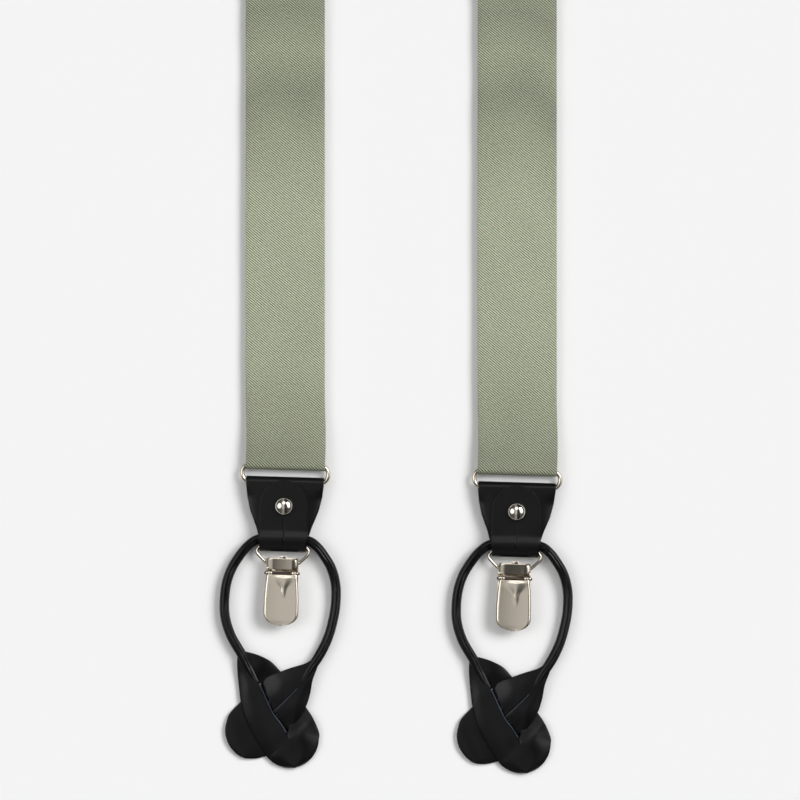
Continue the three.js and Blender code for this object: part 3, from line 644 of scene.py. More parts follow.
for end in ENDS:
    tab, tab_length = tab_mesh()
    end_piece(end, "tab_leather", tab, CUT_LEATHER, "tab", "leather_tab")
print("leather in a tab:", round(tab_length), "mm of strip")

# %% [markdown]
# ## Stud
# The stud is a turned steel button with a ball head, screwed through the tab, with a flat flange behind. A
# profile spun about the stud's own axis is how a lathe makes it.

# %% Stud


def spun(profile, y, steps=56):
    """A profile of (radius, height) spun about an upright axis at this y."""
    bm = bmesh.new()
    line = [bm.verts.new((radius, y, height)) for radius, height in profile]
    edges = [bm.edges.new(pair) for pair in zip(line, line[1:])]
    bmesh.ops.spin(bm, geom=[*line, *edges], cent=(0, y, 0), axis=(0, 0, 1), angle=2 * math.pi, steps=steps,
                   use_merge=True)
    return tidy(bm)


HEAD_BOTTOM = 7.75
dome = [(4.0 * cos_deg(a), 8.75 + 2.45 * sin_deg(a)) for a in range(0, 91, 6)]
HEAD_PROFILE = [(0, 6.4), (1.5, 6.4), (1.5, HEAD_BOTTOM), (3.2, HEAD_BOTTOM), (3.75, 7.95), (3.97, 8.35),
                *dome[:-1], (0, 11.2)]
BASE_PROFILE = [(0, 0.0), (4.2, 0.0), (4.45, 0.08), (4.5, 0.25), (4.42, 0.45), (4.2, 0.5), (1.9, 0.5),
                (1.5, 0.7), (1.5, 5.7), (0, 5.7)]

for end in ENDS:
    ball = as_mesh(spun(HEAD_PROFILE, STUD_Y))
    end_piece(end, "stud_ball", ball, [nickel_bright], "tab", "stud_head")
    flange = as_mesh(spun(BASE_PROFILE, STUD_Y, steps=40))
    end_piece(end, "stud_flange", flange, [nickel], "tab", "stud_base")
print("stud head:", 2 * HEAD_PROFILE[5][0], "mm")

# %% [markdown]
# ## Button loop: the rolled cord
# The loop is one strip of leather. Its middle is rolled tightly round itself into a cord of about 4.3 mm, so
# a seam with a lip runs along it. Towards both ends the roll opens and flattens into a leaf. The cord here is
# a grid wrapped round its route: each point of the route has its own two radii and place for the seam.

# %% Cord
CORD_R = 2.15
CORD_LOW = 3.0
CORD_IN_TAB = 4.45
# x, y, z, radius across, radius upwards, where the seam lies across the cord (1 is the loop's inside)
CORD_ROUTE = [
    (-9.6, -92.8, 3.3, 0.7, 0.3, 0.0),
    (-13.4, -86.9, 3.2, 1.8, 0.9, 0.1),
    (-17.1, -80.4, 3.1, 2.15, 1.75, 0.3),
    (-21.9, -72.6, CORD_LOW, CORD_R, 2.1, 0.3),
    (-24.6, -65.0, CORD_LOW, CORD_R, CORD_R, 0.3),
    (-25.3, -58.0, CORD_LOW, CORD_R, CORD_R, 0.25),
    (-24.7, -50.0, CORD_LOW + 0.2, CORD_R, CORD_R, 0.2),
    (-22.6, -43.0, CORD_LOW + 0.6, CORD_R, CORD_R, 0.15),
    (-18.9, -36.6, CORD_IN_TAB - 0.3, CORD_R, CORD_R, 0.1),
    (-15.4, -32.3, CORD_IN_TAB - 0.05, CORD_R, CORD_R, 0.05),
    (-11.3, -29.5, CORD_IN_TAB - 0.1, CORD_R, 1.75, 0.0),
    (-5.0, -28.7, CORD_IN_TAB, 1.8, 1.7, 0.0),
    (5.0, -28.7, CORD_IN_TAB, 1.8, 1.7, -0.1),
    (11.3, -29.5, CORD_IN_TAB - 0.1, CORD_R, 1.75, -0.15),
    (15.2, -32.1, CORD_IN_TAB - 0.05, CORD_R, CORD_R, -0.2),
    (18.4, -36.0, CORD_IN_TAB - 0.3, CORD_R, CORD_R, -0.2),
    (21.6, -41.2, CORD_LOW + 0.7, CORD_R, CORD_R, -0.25),
    (23.6, -47.6, CORD_LOW + 0.2, CORD_R, CORD_R, -0.3),
    (24.1, -54.4, CORD_LOW, CORD_R, CORD_R, -0.35),
    (23.5, -62.0, CORD_LOW, CORD_R, CORD_R, -0.35),
    (21.3, -71.5, CORD_LOW, CORD_R, 2.1, -0.3),
    (17.9, -79.3, 3.3, 2.2, 1.75, -0.15),
    (13.7, -86.2, 3.7, 1.9, 0.95, 0.0),
    (9.4, -93.2, 4.3, 0.7, 0.3, 0.0),
]
CORD_SIDES = 56


def seam_shape(angle, seam):
    """How far the roll's surface is from round: a groove, and a lip beside it."""
    off = math.remainder(angle - seam, 2 * math.pi)
    groove = -0.5 * math.exp(-(off / 0.15) ** 2)
    lip = 0.16 * math.exp(-((off + 0.32) / 0.2) ** 2)
    return groove + lip


def cord_mesh():
    route = smooth(CORD_ROUTE, 8)

    def carry(around, row):
        here = route[row]
        ahead, behind = route[min(row + 1, len(route) - 1)], route[max(row - 1, 0)]
        along = Vector((ahead[0] - behind[0], ahead[1] - behind[1], ahead[2] - behind[2])).normalized()
        inside = Vector((along.y, -along.x, 0)).normalized()
        upward = along.cross(inside)
        if upward.z < 0:
            upward = -upward
        angle = 2 * math.pi * around
        seam = math.acos(here[5])
        depth = min(1, here[4] / CORD_R) * seam_shape(angle, seam)
        at = Vector(here[:3])
        at += inside * (here[3] + depth) * math.cos(angle) + upward * (here[4] + depth) * math.sin(angle)
        return at, (angle * CORD_R * MM, row * MM)

    bm = carried_grid(CORD_SIDES, len(route) - 1, carry)
    bmesh.ops.remove_doubles(bm, verts=bm.verts, dist=0.0005)
    bmesh.ops.holes_fill(bm, edges=[e for e in bm.edges if e.is_boundary])
    return as_mesh(tidy(bm))


cord_length = lengths([Vector(here[:3]) for here in smooth(CORD_ROUTE, 8)])[-1]
print("rolled part of the loop:", round(cord_length), "mm")

# %% [markdown]
# ## Button loop: the leaves
# Each leaf widens from the cord to a round ear with a buttonhole slit down its middle. The right leaf lies
# over the left one, dives through the left one's slit, and comes out below it as the ear on the left. A leaf
# is two grids, left and right of its middle line, joined where the slit is closed. First come the rows of
# each leaf: its left edge, its middle and its right edge.

# %% Leaf outlines
LEAF_THICK = 1.2
SLIT_LINE = [(-9.4, -93.0), (-7.6, -96.0), (-5.3, -100.9), (-2.1, -106.8), (1.3, -110.9), (4.05, -115.2)]


def ear_rows(centre, radius, left, right, start, count=7):
    """Rows round an ear's circle: its edges run from their first angles to where they meet."""
    rows = []
    for i in range(1, count + 1):
        share = math.sin(math.radians(90 * i / count)) if i < count else 0.9995
        edges = []
        for first, last in (left, right):
            angle = math.radians(first + (last - first) * share ** 1.25)
            edges.append((centre[0] + radius * math.cos(angle), centre[1] + radius * math.sin(angle)))
        middle = tuple((a + b) / 2 for a, b in zip(*edges))
        drawn = 0.55 * (1 - share)
        middle = tuple(m * (1 - drawn) + s * drawn for m, s in zip(middle, start))
        rows.append((edges[0], middle, edges[1]))
    return rows


LEFT_LEAF = [
    ((-18.6, -79.6), (-17.0, -79.2), (-15.0, -79.4)),
    ((-18.9, -84.0), (-14.6, -84.0), (-9.9, -80.7)),
    ((-18.4, -89.1), (-12.0, -88.6), (-4.3, -83.3)),
    ((-17.4, -96.0), (-9.4, -93.0), (0.4, -87.9)),
    ((-16.5, -102.1), (-7.0, -97.3), (5.5, -93.8)),
    ((-14.4, -109.2), (-4.6, -102.2), (9.3, -98.8)),
    ((-11.8, -114.4), (-1.6, -107.4), (12.0, -103.2)),
    ((-8.6, -119.6), (1.3, -110.9), (15.4, -107.9)),
    ((-4.7, -125.3), (4.05, -115.2), (18.1, -114.0)),
    *ear_rows((5.3, -117.2), 12.9, (219, 282), (374, 282), (4.05, -115.2)),
]
RIGHT_LEAF = [
    ((15.0, -81.2), (16.4, -81.8), (18.2, -80.8)),
    ((11.8, -83.6), (13.6, -86.2), (16.6, -86.0)),
    ((5.4, -85.8), (10.9, -90.8), (14.7, -91.5)),
    ((0.3, -87.9), (8.3, -94.7), (13.7, -97.0)),
    ((-4.6, -90.2), (4.9, -98.3), (11.9, -103.1)),
    ((-9.2, -93.6), (1.3, -102.1), (8.4, -109.0)),
    ((-13.2, -97.4), (-2.4, -106.0), (4.4, -114.6)),
    ((-17.0, -102.0), (-5.6, -110.2), (0.0, -120.2)),
    ((-21.3, -106.8), (-9.0, -114.4), (-4.5, -125.1)),
    *ear_rows((-10.75, -114.2), 12.6, (145, 252), (300, 252), (-9.0, -114.4)),
]
LEAF_STEPS = 7
HALF_COLUMNS = 14
LEFT_SLIT = (3, 8)  # stations between which the left leaf's slit is open
RIGHT_SLIT = (3, 6)
print("rows in a leaf:", len(LEFT_LEAF), "and", len(RIGHT_LEAF))

# %% [markdown]
# A leaf's height comes from which layer it is in at each point, so one function for each leaf gives it. The
# heights ease from layer to layer, because leather bends in wide curves, and the outer edges curl down.

# %% Leaf heights

def side_of_slit(x, y):
    """Signed distance from the left leaf's slit, above zero to the right of it."""
    line = [Vector(p) for p in SLIT_LINE]
    start = line[0] + (line[0] - line[1]).normalized() * 30
    stop = line[-1] + (line[-1] - line[-2]).normalized() * 30
    here, best = Vector((x, y)), None
    line = [start, *line, stop]
    for a, b in zip(line, line[1:]):
        share = min(1, max(0, (here - a).dot(b - a) / (b - a).length_squared))
        gap = here - a.lerp(b, share)
        if best is None or gap.length < abs(best):
            cross = (b - a).x * gap.y - (b - a).y * gap.x
            best = math.copysign(gap.length, cross)
    return best


def droop(share):
    """How far a leaf's outer edge curls down, where share is 0 at the edge."""
    return 1.5 * max(0, 1 - share / 0.65) ** 2


def right_leaf_height(x, y, station, side, share):
    near_cord = ease((y + 92) / 9)
    over = 4.0 + 0.3 * ripple(x * 0.11, y * 0.11, 5)
    under = 0.95
    height = under + (over - under) * ease((side_of_slit(x, y) + 4.5) / 15)
    clear = Vector((x + 14.4, y + 109.2)).dot(Vector((-0.856, -0.516)))  # past the left leaf's edge it rises
    height += 0.8 * ease((clear - 0.3) / 9)
    height -= droop(share) * ease((station - 1.5) / 2) * (0.9 if side_of_slit(x, y) > 0 else 0.25)
    return height + (3.3 - height) * near_cord * 0.7


def left_leaf_height(x, y, station, side, share):
    """side is -1 left of the middle, 1 right; share is 1 at the middle and 0 at the outer edge."""
    opened = ease((station - LEFT_SLIT[0] + 1.4) / 1.8) * ease((LEFT_SLIT[1] + 0.6 - station) / 1.6)
    ear = ease((station - 7.4) / 2.2)
    over = 3.0 + 0.3 * share
    under = 1.15 + 0.3 * (1 - share)
    closed = 2.6 + 0.3 * ear
    beyond = ease(((x - 4.4) * 0.838 - (y + 114.6) * 0.546) / 7)  # past the right leaf's edge it may rise
    height = closed + (over - closed if side < 0 else (under - closed) * (1 - beyond)) * opened
    puff = 0.9 * math.exp(-((x - 8.6) ** 2 + (y + 114.8) ** 2) / 26)
    height += puff * ease((station - 6.3) / 1.4)
    return height - droop(share) * ease((station - 1) / 2) * (1 - 0.6 * opened if side > 0 else 1)


print("the right leaf lies", round(right_leaf_height(5, -95, 4, 1, 1), 1), "mm up where it is on top")

# %% [markdown]
# The open slit is pushed wide by the leaf that dives through it, and only the half that gives way moves. The
# closed slit is a hair wide. A raw lip with a few torn fibres is what the eye catches on a cut slit, and
# short thin wires are enough for that.

# %% Leaves


def leaf_mesh(stations, slit, opening, height, pull):
    """pull is 1 if only the right half gives way at the slit, and 0 if both do."""
    edges = [smooth([(*row[i], 0) for row in stations], LEAF_STEPS) for i in range(3)]
    bm = bmesh.new()
    for side in (-1, 1):

        def carry(across, row):
            station = row / LEAF_STEPS
            left, middle, right = (line[row] for line in edges)
            span = (station - slit[0]) / (slit[1] - slit[0])
            gape = opening * math.sqrt(math.sin(math.pi * span)) if 0 < span < 1 else 0
            sideways = (right - left).normalized()
            if side > 0:
                middle = middle + sideways * gape * (1 if pull else 0.5)
            elif not pull:
                middle = middle - sideways * gape * 0.5
            here = left.lerp(middle, across) if side < 0 else middle.lerp(right, across)
            share = across if side < 0 else 1 - across
            z = height(here.x, here.y, station, side, share)
            return Vector((here.x, here.y, z)), (here.x * MM, here.y * MM)

        carried_grid(HALF_COLUMNS, len(edges[0]) - 1, carry, bm)
    bmesh.ops.remove_doubles(bm, verts=bm.verts, dist=0.02)
    return settled(bm, thickness=LEAF_THICK, edge=0.22, rim=1)


# place along the slit, reach in mm, direction in degrees
FIBRES = [(0.30, 1.5, 60), (0.42, 2.0, 52), (0.45, 1.6, 75), (0.66, 1.4, 66), (0.7, 1.2, 40),
          (0.93, 1.3, 120)]


def slit_fibres():
    """The raw left lip of the open slit with a few loose fibres, and the lip of the closed one."""
    line = smooth([(x, y, 0) for x, y in SLIT_LINE], 12)[3:-2]
    points = []
    for i, here in enumerate(line):
        rough = 0.16 * ripple(i * 0.7, 3.1, 0)
        points.append(Vector((here.x + 0.1 + rough, here.y + rough, 3.68 + rough)))
    parts = [wire(points, 0.22, around=2)]
    for share, reach, angle in FIBRES:
        root = points[round(share * (len(points) - 1))]
        way = Vector((cos_deg(angle), sin_deg(angle), 0.15))
        fibre = [root, root + way * reach / 2, root + way * reach + Vector((0.1, -0.1, 0.1))]
        parts.append(wire(fibre, 0.07, around=1))
    closed = [Vector((8.2, -94.9)).lerp(Vector((-2.2, -105.8)), i / 14) for i in range(15)]
    lip = [Vector((x, y, right_leaf_height(x, y, 4, 1, 1) + 0.56)) for x, y in closed]
    parts.append(wire(lip, 0.1, around=2))
    return as_mesh(joined(*parts))


for end in ENDS:
    left_leaf = leaf_mesh(LEFT_LEAF, LEFT_SLIT, 4.4, left_leaf_height, pull=True)
    right_leaf = leaf_mesh(RIGHT_LEAF, RIGHT_SLIT, 0.26, right_leaf_height, pull=False)
    loop = {"loop_cord": (cord_mesh(), [leather]), "loop_left_leaf": (left_leaf, CUT_LEATHER),
            "loop_right_leaf": (right_leaf, CUT_LEATHER), "loop_slit_fibres": (slit_fibres(), [raw_edge])}
    for name, (mesh, finishes) in loop.items():
        end_piece(end, name, mesh, finishes, "loop", "button_loop")
print("pieces of a loop:", ", ".join(loop))

# %% [markdown]
# ## Clip
# The clip is pressed from sheet steel. A back plate carries two cheeks and a bridge over its top, and a lever
# turns on a pin and presses an inner jaw down. The bridge is folded sheet, so it is a grid again, bent across
# instead of along, with slots cut where the cheeks stand.

# %% Clip bridge
SHEET = 0.7
CLIP_HALF = 7.1
PIN_Y = -44.0
PIN_Z = 6.0
CLIP_TOP = -37.5
BRIDGE_EDGE = -42.3
LEVER_TOP = -44.7
LEVER_TIP = -66.9


def bridge_mesh():
    """The bridge: a short length of sheet folded down at both sides."""
    side = [(-CLIP_HALF + SHEET / 2, z) for z in (0.9, 2.4, 3.9, 5.4)]
    corner = [(-CLIP_HALF + 1.15 - 0.8 * cos_deg(a), 5.85 + 0.8 * sin_deg(a))
              for a in (0, 22.5, 45, 67.5, 90)]
    half = side + corner + [(-4.0, 6.67), (-2.0, 6.7)]
    across = half + [(0, 6.7)] + [(-x, z) for x, z in reversed(half)]
    rows = [CLIP_TOP - 0.05, CLIP_TOP - 0.25, CLIP_TOP - 0.6, CLIP_TOP - 1.0, -39.4, -40.4, -41.4,
            BRIDGE_EDGE]

    def carry(share, row):
        x, z = across[round(share * (len(across) - 1))]
        y = rows[row]
        tuck = 0.85 * (1 - math.sqrt(max(0, 1 - (1 - (CLIP_TOP - y)) ** 2))) if CLIP_TOP - y < 1 else 0
        x -= math.copysign(tuck, x) if abs(x) > 5.5 else 0
        hollow = 0.75 * ((7 - x) / 14) ** 2 - 0.5 if z > 6.5 else 0
        return Vector((x, y, z - 0.12 * tuck + hollow)), (x * MM, y * MM)

    bm = carried_grid(len(across) - 1, len(rows) - 1, carry)
    middles = {face: face.calc_center_median() for face in bm.faces}
    slots = [face for face, middle in middles.items() if middle.y < -41.4 and 5.8 < abs(middle.x)]
    bmesh.ops.delete(bm, geom=slots, context="FACES")
    return settled(bm, thickness=SHEET, edge=0.14)


print("clip bridge:", round(CLIP_TOP - BRIDGE_EDGE, 1), "mm long")

# %% [markdown]
# The flat parts of the clip are outlines pulled up into plates: the back plate with its round tip, the two
# cheeks with their round ends at the pin, a lug at the top, and five teeth.

# %% Clip plates


def eye(rise, start, stop):
    """The round end about the pin of a plate that stands upright."""
    return [(PIN_Y + 1.3 * cos_deg(a), PIN_Z + rise * sin_deg(a)) for a in range(start, stop, 15)]


def clip_plates():
    bm = bmesh.new()
    tip = [(CLIP_HALF * cos_deg(a), -57.4 + CLIP_HALF * sin_deg(a)) for a in range(180, 361, 12)]
    plate(bm, [*tip, (CLIP_HALF, CLIP_TOP - 0.8), (CLIP_HALF - 0.8, CLIP_TOP), (0.8 - CLIP_HALF, CLIP_TOP),
               (-CLIP_HALF, CLIP_TOP - 0.8)], 0.0, SHEET)
    cheek = [(PIN_Y - 1.9, 0.3), (BRIDGE_EDGE + 0.3, 0.3), (BRIDGE_EDGE + 0.3, 3.5), *eye(1.3, 0, 181),
             (PIN_Y - 1.7, 3.5)]
    for low in (-CLIP_HALF, CLIP_HALF - SHEET):
        plate(bm, cheek, low, low + SHEET, UPRIGHT)
    lug = [(-1.75, -38.4), (1.75, -38.4), (1.6, -36.7), (1.2, -36.3), (-1.2, -36.3), (-1.6, -36.7)]
    plate(bm, lug, 5.9, 6.5)
    for x in (-4, -2, 0, 2, 4):
        plate(bm, [(x - 0.5, -63.7), (x + 0.5, -63.7), (x + 0.25, -62.9), (x - 0.25, -62.9)], 0.35, 1.9)
    bmesh.ops.recalc_face_normals(bm, faces=bm.faces)
    return settled(bm, edge=0.12, edge_angle=40)


print("clip:", 2 * CLIP_HALF, "mm wide")

# %% [markdown]
# The lever's face is slightly hollow, its edges roll down, and a short ridge is pressed below the pin. All
# three are a height over one grid, whose rows narrow to the round tip. Its two ears are plates on the pin.

# %% Clip lever
ROUND_FROM = -61.0  # where the lever starts to narrow
LEVER_HALF = 7.45  # at its widest
LEVER_SHEET = 0.6


def lever_half(y):
    if y > ROUND_FROM:
        widths = [(ROUND_FROM, LEVER_HALF), (-56, LEVER_HALF), (-50, 7.1), (-46.2, 6.7), (-44.7, 6.55)]
        return between(widths, y)
    down = min(1, (ROUND_FROM - y) / (ROUND_FROM - LEVER_TIP))
    return LEVER_HALF * math.sqrt(max(0, 1 - down ** 2.7))


def lever_mesh():
    flat = [LEVER_TOP - 0.45 * i for i in range(37)]
    tip = [ROUND_FROM + (LEVER_TIP - ROUND_FROM) * sin_deg(a) for a in range(6, 90, 6)] + [LEVER_TIP + 0.005]
    rows = [y for y in flat if y > -61.2] + [y for y in tip if y < -61.3]

    def carry(across, row):
        y = rows[row]
        u = 2 * across - 1
        x = lever_half(y) * u
        hollow = 0.15 * u * u + 0.1 * u
        fall = 0.2 * (1 - ease((y - LEVER_TIP) / 2.5))
        rolled = 0.5 * ease((abs(u) - 0.93) / 0.07)
        spread = 0.7 + 3.4 * ease((y + 51.5) / 6.5)
        ridge = 0.42 * ease((y + 57) / 10) * ease((-45.1 - y) / 0.9) * math.exp(-((x - 0.9) / spread) ** 2)
        z = 6.95 + hollow - fall - rolled + ridge
        return Vector((x, y, z)), (x * MM, y * MM)

    bm = carried_grid(40, len(rows) - 1, carry)
    bmesh.ops.remove_doubles(bm, verts=bm.verts, dist=0.0005)
    bm = joined(settled(bm, thickness=LEVER_SHEET, edge=0.12))
    side = [*eye(1.2, -150, 91), (-45.5, 7.0), (-49.5, 6.9), (-49.5, 6.5), (-46.0, 5.2)]
    for low in (-6.1, 5.4):
        plate(bm, side, low, low + SHEET, UPRIGHT)
    bmesh.ops.recalc_face_normals(bm, faces=bm.faces)
    return as_mesh(bm)


for end in ENDS:
    end_piece(end, "clip_bridge", bridge_mesh(), [nickel], "clip", "clip_body")
    end_piece(end, "clip_plates", clip_plates(), [nickel], "clip", "clip_body")
    end_piece(end, "clip_cover", lever_mesh(), [nickel_satin], "lever", "clip_lever", sharp=50)
    pin = wire([Vector((x, PIN_Y, PIN_Z)) for x in (-7.8, -7.6, 7.6, 7.8)], 0.6)
    end_piece(end, "clip_rivet", pin, [oiled_steel], "clip", "clip_pin")
    for node, finish in (("_clip_jaw", nickel), ("_lower_pad", nylon), ("_upper_pad", nylon)):
        finishes = frame["nodes"][end + node].data.materials
        finishes.clear()
        finishes.append(finish)
print("clip lever:", round(LEVER_TOP - LEVER_TIP, 1), "mm long")

# %% [markdown]
# ## Straps
# Each front strap is two lengths of the same webbing. The lower one runs from its fold round the ring to its
# fold round the adjuster's bar; the upper one runs behind it, through the adjuster, and on to the patch. The
# webbing lies in slow waves, because a strap that has been folded never lies quite flat, and there is a
# faint crease where the tail of the upper strap ends behind. The end of a strap hangs askew with its ring.

# %% Front straps
STRAP_HALF = 17.5
STRAP_THICK = 1.0
FRONT_Z = 3.3
BEHIND_Z = 2.0
ADJUSTER_Y = 246.0
TAIL = 34.0
FOLD_BAR = 1.8  # the radius of a strap's middle layer where it folds over a bar
WAVES = [(0, 0.0), (14, 0.05), (33, -0.12), (48, 0.1), (75, 0.02), (110, 0.12), (145, -0.1), (161, 0.2),
         (179, -0.22), (197, 0.2), (215, -0.15), (240, 0.0)]


def fold_rows(flap_end, run, half=STRAP_HALF):
    """Rows of a strap folded round the ring's upper bar, from its flap behind to the start of its run."""
    behind = dense([(flap_end, RING_Z - FOLD_BAR), (RING_BAR, RING_Z - FOLD_BAR)], 1.5)
    turned = turn(RING_BAR, RING_Z, FOLD_BAR, FOLD_BAR, 258, 102, 12)
    top = RING_Z + FOLD_BAR
    front = smooth([(RING_BAR, top), (RING_BAR + 4, top - 0.25), (13, 4.55), (19, 3.95), *run], 4)
    return [(p[0], p[1], half) for p in [*behind, *turned, *front]]


def lower_rows():
    bar_y, bar_z = ADJUSTER_Y - 9.0, 5.1
    top = bar_z + FOLD_BAR
    rows = fold_rows(24.0, [(26, 3.45), (30, FRONT_Z)])
    run = dense([(30, FRONT_Z), (bar_y - 26, FRONT_Z)], 1.6)[1:]
    rise = smooth([(bar_y - 26, FRONT_Z), (bar_y - 14, FRONT_Z + 1.8), (bar_y - 5, top - 0.25),
                   (bar_y, top)], 7)
    over = turn(bar_y, bar_z, FOLD_BAR, FOLD_BAR, 78, -78, 12)
    flap = dense([(bar_y, FRONT_Z), (bar_y - 13, FRONT_Z)], 1.6)
    return rows + [(p[0], p[1], STRAP_HALF) for p in [*run, *rise[1:], *over, *flap]]


def skew(tilt):
    """The bend that hangs a strap's end askew: all of the tilt at the ring, none of it 30 mm up."""
    def bend(x, y, z):
        share = 1 - ease((y - 6) / 30)
        wave = 0.0
        if z > 2.9 and y > 8:
            wave = between(WAVES, y) * ease((y - 8) / 6)
            wave += 0.1 * ripple(x * 0.05, y * 0.03, 2.0)
        cos, sin = math.cos(tilt * share), math.sin(tilt * share)
        return Vector((x * cos - y * sin, x * sin + y * cos, z + wave))
    return bend


print("rows in a lower strap:", len(lower_rows()))

# %% [markdown]
# The upper strap is drawn in the frame's own millimetres. It lies straight behind the lower one, and then
# takes a slow curve to the patch, so its grid follows a middle line.

# %% Upper strap
RING_LEVEL = -660.0  # where the front rings are
UPPER_TAIL = RING_LEVEL + TAIL
CURVE_START = RING_LEVEL + ADJUSTER_Y + 44
CURVE_STOP = -5.0
UPPER_HALF = STRAP_HALF - 0.15


def upper_line(side, x):
    stop_x = side * 18.6
    rise = CURVE_STOP - CURVE_START
    a, b = Vector((x, CURVE_START)), Vector((x, CURVE_START + rise / 3))
    c, d = Vector((stop_x + side * 12.4, CURVE_STOP - rise / 4)), Vector((stop_x, CURVE_STOP))
    centre = dense([(x, UPPER_TAIL), (x, CURVE_START)], 3)[:-1]
    for t in (i / 96 for i in range(97)):
        centre.append(a * (1 - t) ** 3 + 3 * b * t * (1 - t) ** 2 + 3 * c * t * t * (1 - t) + d * t ** 3)
    return centre


def upper_strap(side, x):
    """The upper strap's bmesh and its length."""
    centre = upper_line(side, x)
    run = lengths(centre)

    def carry(across, row):
        here, far = centre[row], run[row]
        along = (centre[min(row + 1, len(centre) - 1)] - centre[max(row - 1, 0)]).normalized()
        off = (2 * across - 1) * UPPER_HALF
        free = ease((here.y - CURVE_START) / 30) * ease((CURVE_STOP - 45 - here.y) / 30)
        wave = 0.35 * free * math.sin(far / 21) + 0.25 * free * ripple(off * 0.04, far * 0.02, side)
        here = Vector((here.x + along.y * off, here.y - along.x * off, BEHIND_Z + 0.25 * free + wave))
        if here.y > -36:  # the hidden end is cut slanting, to stay inside the patch
            here.x = math.copysign(min(abs(here.x), 36.4 - 0.36 * max(0, here.y + 24)), here.x)
        return here, (off * MM, far * MM)

    return carried_grid(14, len(centre) - 1, carry), run[-1]


print("the upper strap's straight run:", CURVE_START - UPPER_TAIL, "mm")

# %% [markdown]
# A tone is stored on the mesh, point by point, because it belongs to each strap's length. On the lower straps
# it is painted shade in bands along the strap; on the upper straps it is a slow random tone. It is the same
# all across, but for a slow wander.

# %% Strap pieces


def store_shade_tone(obj, tone):
    """Stores how dark the cloth is painted at each point, painted shade or random tone; tone takes a point in
    millimetres.
    """
    layer = obj.data.color_attributes.new("painted_shade_tone", "FLOAT_COLOR", "POINT")
    for vert, entry in zip(obj.data.vertices, layer.data):
        level = tone(vert.co / MM)
        entry.color = (level, level, level, 1)


def level_place(end):
    """As an end's matrix, but square to the frame: only the very end of a strap hangs askew."""
    return Matrix.Translation(ENDS[end].translation) @ Matrix.Scale(MM, 4)


TILT = {name: math.atan2(place.col[0].y, place.col[0].x) for name, place in ENDS.items()}
for side, end in ((-1, "left"), (1, "right")):
    bm, lower_length = strip(lower_rows(), 14, skew(TILT[end]))
    lower = end_piece(end, "lower_webbing", settled(bm, thickness=STRAP_THICK, edge=0.25), [twill], "front",
                      "lower_strap", place=level_place(end))
    ring_y = ENDS[end].translation.y / MM

    # painted shade: darker bands along the strap, shifted and blotted at random
    def lower_painted_shade(at):
        wander = 9 * ripple(at.x * 0.05, at.y * 0.01, side)
        blot = ripple(at.x * 0.06, at.y * 0.05, 3.0 + side)
        return between(STRAP_PAINTED_SHADE, max(0, at.y - ring_y) + wander) * (1 + 0.05 * blot)

    store_shade_tone(lower, lower_painted_shade)

    bm, upper_length = upper_strap(side, ENDS[end].translation.x / MM)
    upper = piece(end + "_upper_webbing", settled(bm, thickness=STRAP_THICK, edge=0.25), Matrix.Scale(MM, 4),
                  [twill], "root", [end + "_upper_strap"])
    store_shade_tone(upper, lambda at: 0.92 + 0.12 * ripple(at.x * 0.04, at.y * 0.03, 9.0))
print("lower strap:", round(lower_length), "mm cut, upper strap:", round(upper_length), "mm cut")

# %% [markdown]
# ## Elastic back strap
# The elastic runs from the patch to its own sewn fold round the back ring. When it is pulled, it stretches
# evenly, so its piece blends between the patch and the fold. Two rows of stitches hold the fold.

# %% Back strap
HEM_END = 34.0
back = ENDS["back"]
rows = fold_rows(HEM_END, [(24, 3.1), (29, 2.35), (HEM_END, BEHIND_Z)])
rows = [(y, z, half) for y, z, half in rows if not (y > 24 and z < 1.8)]
bm, hem_length = strip(rows, 14)
hem = piece("back_hem_web", settled(bm, thickness=STRAP_THICK, edge=0.25), back, [elastic], "back_hem",
            ["back_strap_hem"])

hem_left = back @ Vector((STRAP_HALF, HEM_END + 0.1, 0))
hem_right = back @ Vector((-STRAP_HALF, HEM_END + 0.1, 0))
ELASTIC_START = -1.0
ELASTIC_ROWS = 120


def elastic_carry(across, row):
    stop = hem_left.lerp(hem_right, across) / MM
    start = Vector(((2 * across - 1) * STRAP_HALF, ELASTIC_START, 0))
    here = start.lerp(stop, row / ELASTIC_ROWS)
    free = ease((here.y - 40) / 15) * ease((stop.y - here.y) / 15)
    here.z = BEHIND_Z + free * (0.3 * math.sin(here.y / 17) + 0.2 * ripple(here.x * 0.05, here.y * 0.03, 7))
    return here, (here.x * MM, here.y * MM)


bm = carried_grid(14, ELASTIC_ROWS, elastic_carry)
web = piece("back_elastic_web", settled(bm, thickness=STRAP_THICK, edge=0.25), Matrix.Scale(MM, 4), [elastic],
            None, ["back_elastic_strap"])
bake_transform(web)

# %% [markdown]
# ## Stitching
# Waxed thread shows as a row of short rounded bars. One stitch is a small sphere pulled long and flat, and a
# row is copies of it set along a line, so a few dozen faces are enough for each.

# %% Stitches
thread = toothed_material("waxed_black_thread", 0.5, "#2d2d2e", 3000.0, 0.05 * MM)
STITCH = 2.0
STITCH_GAP = 0.6


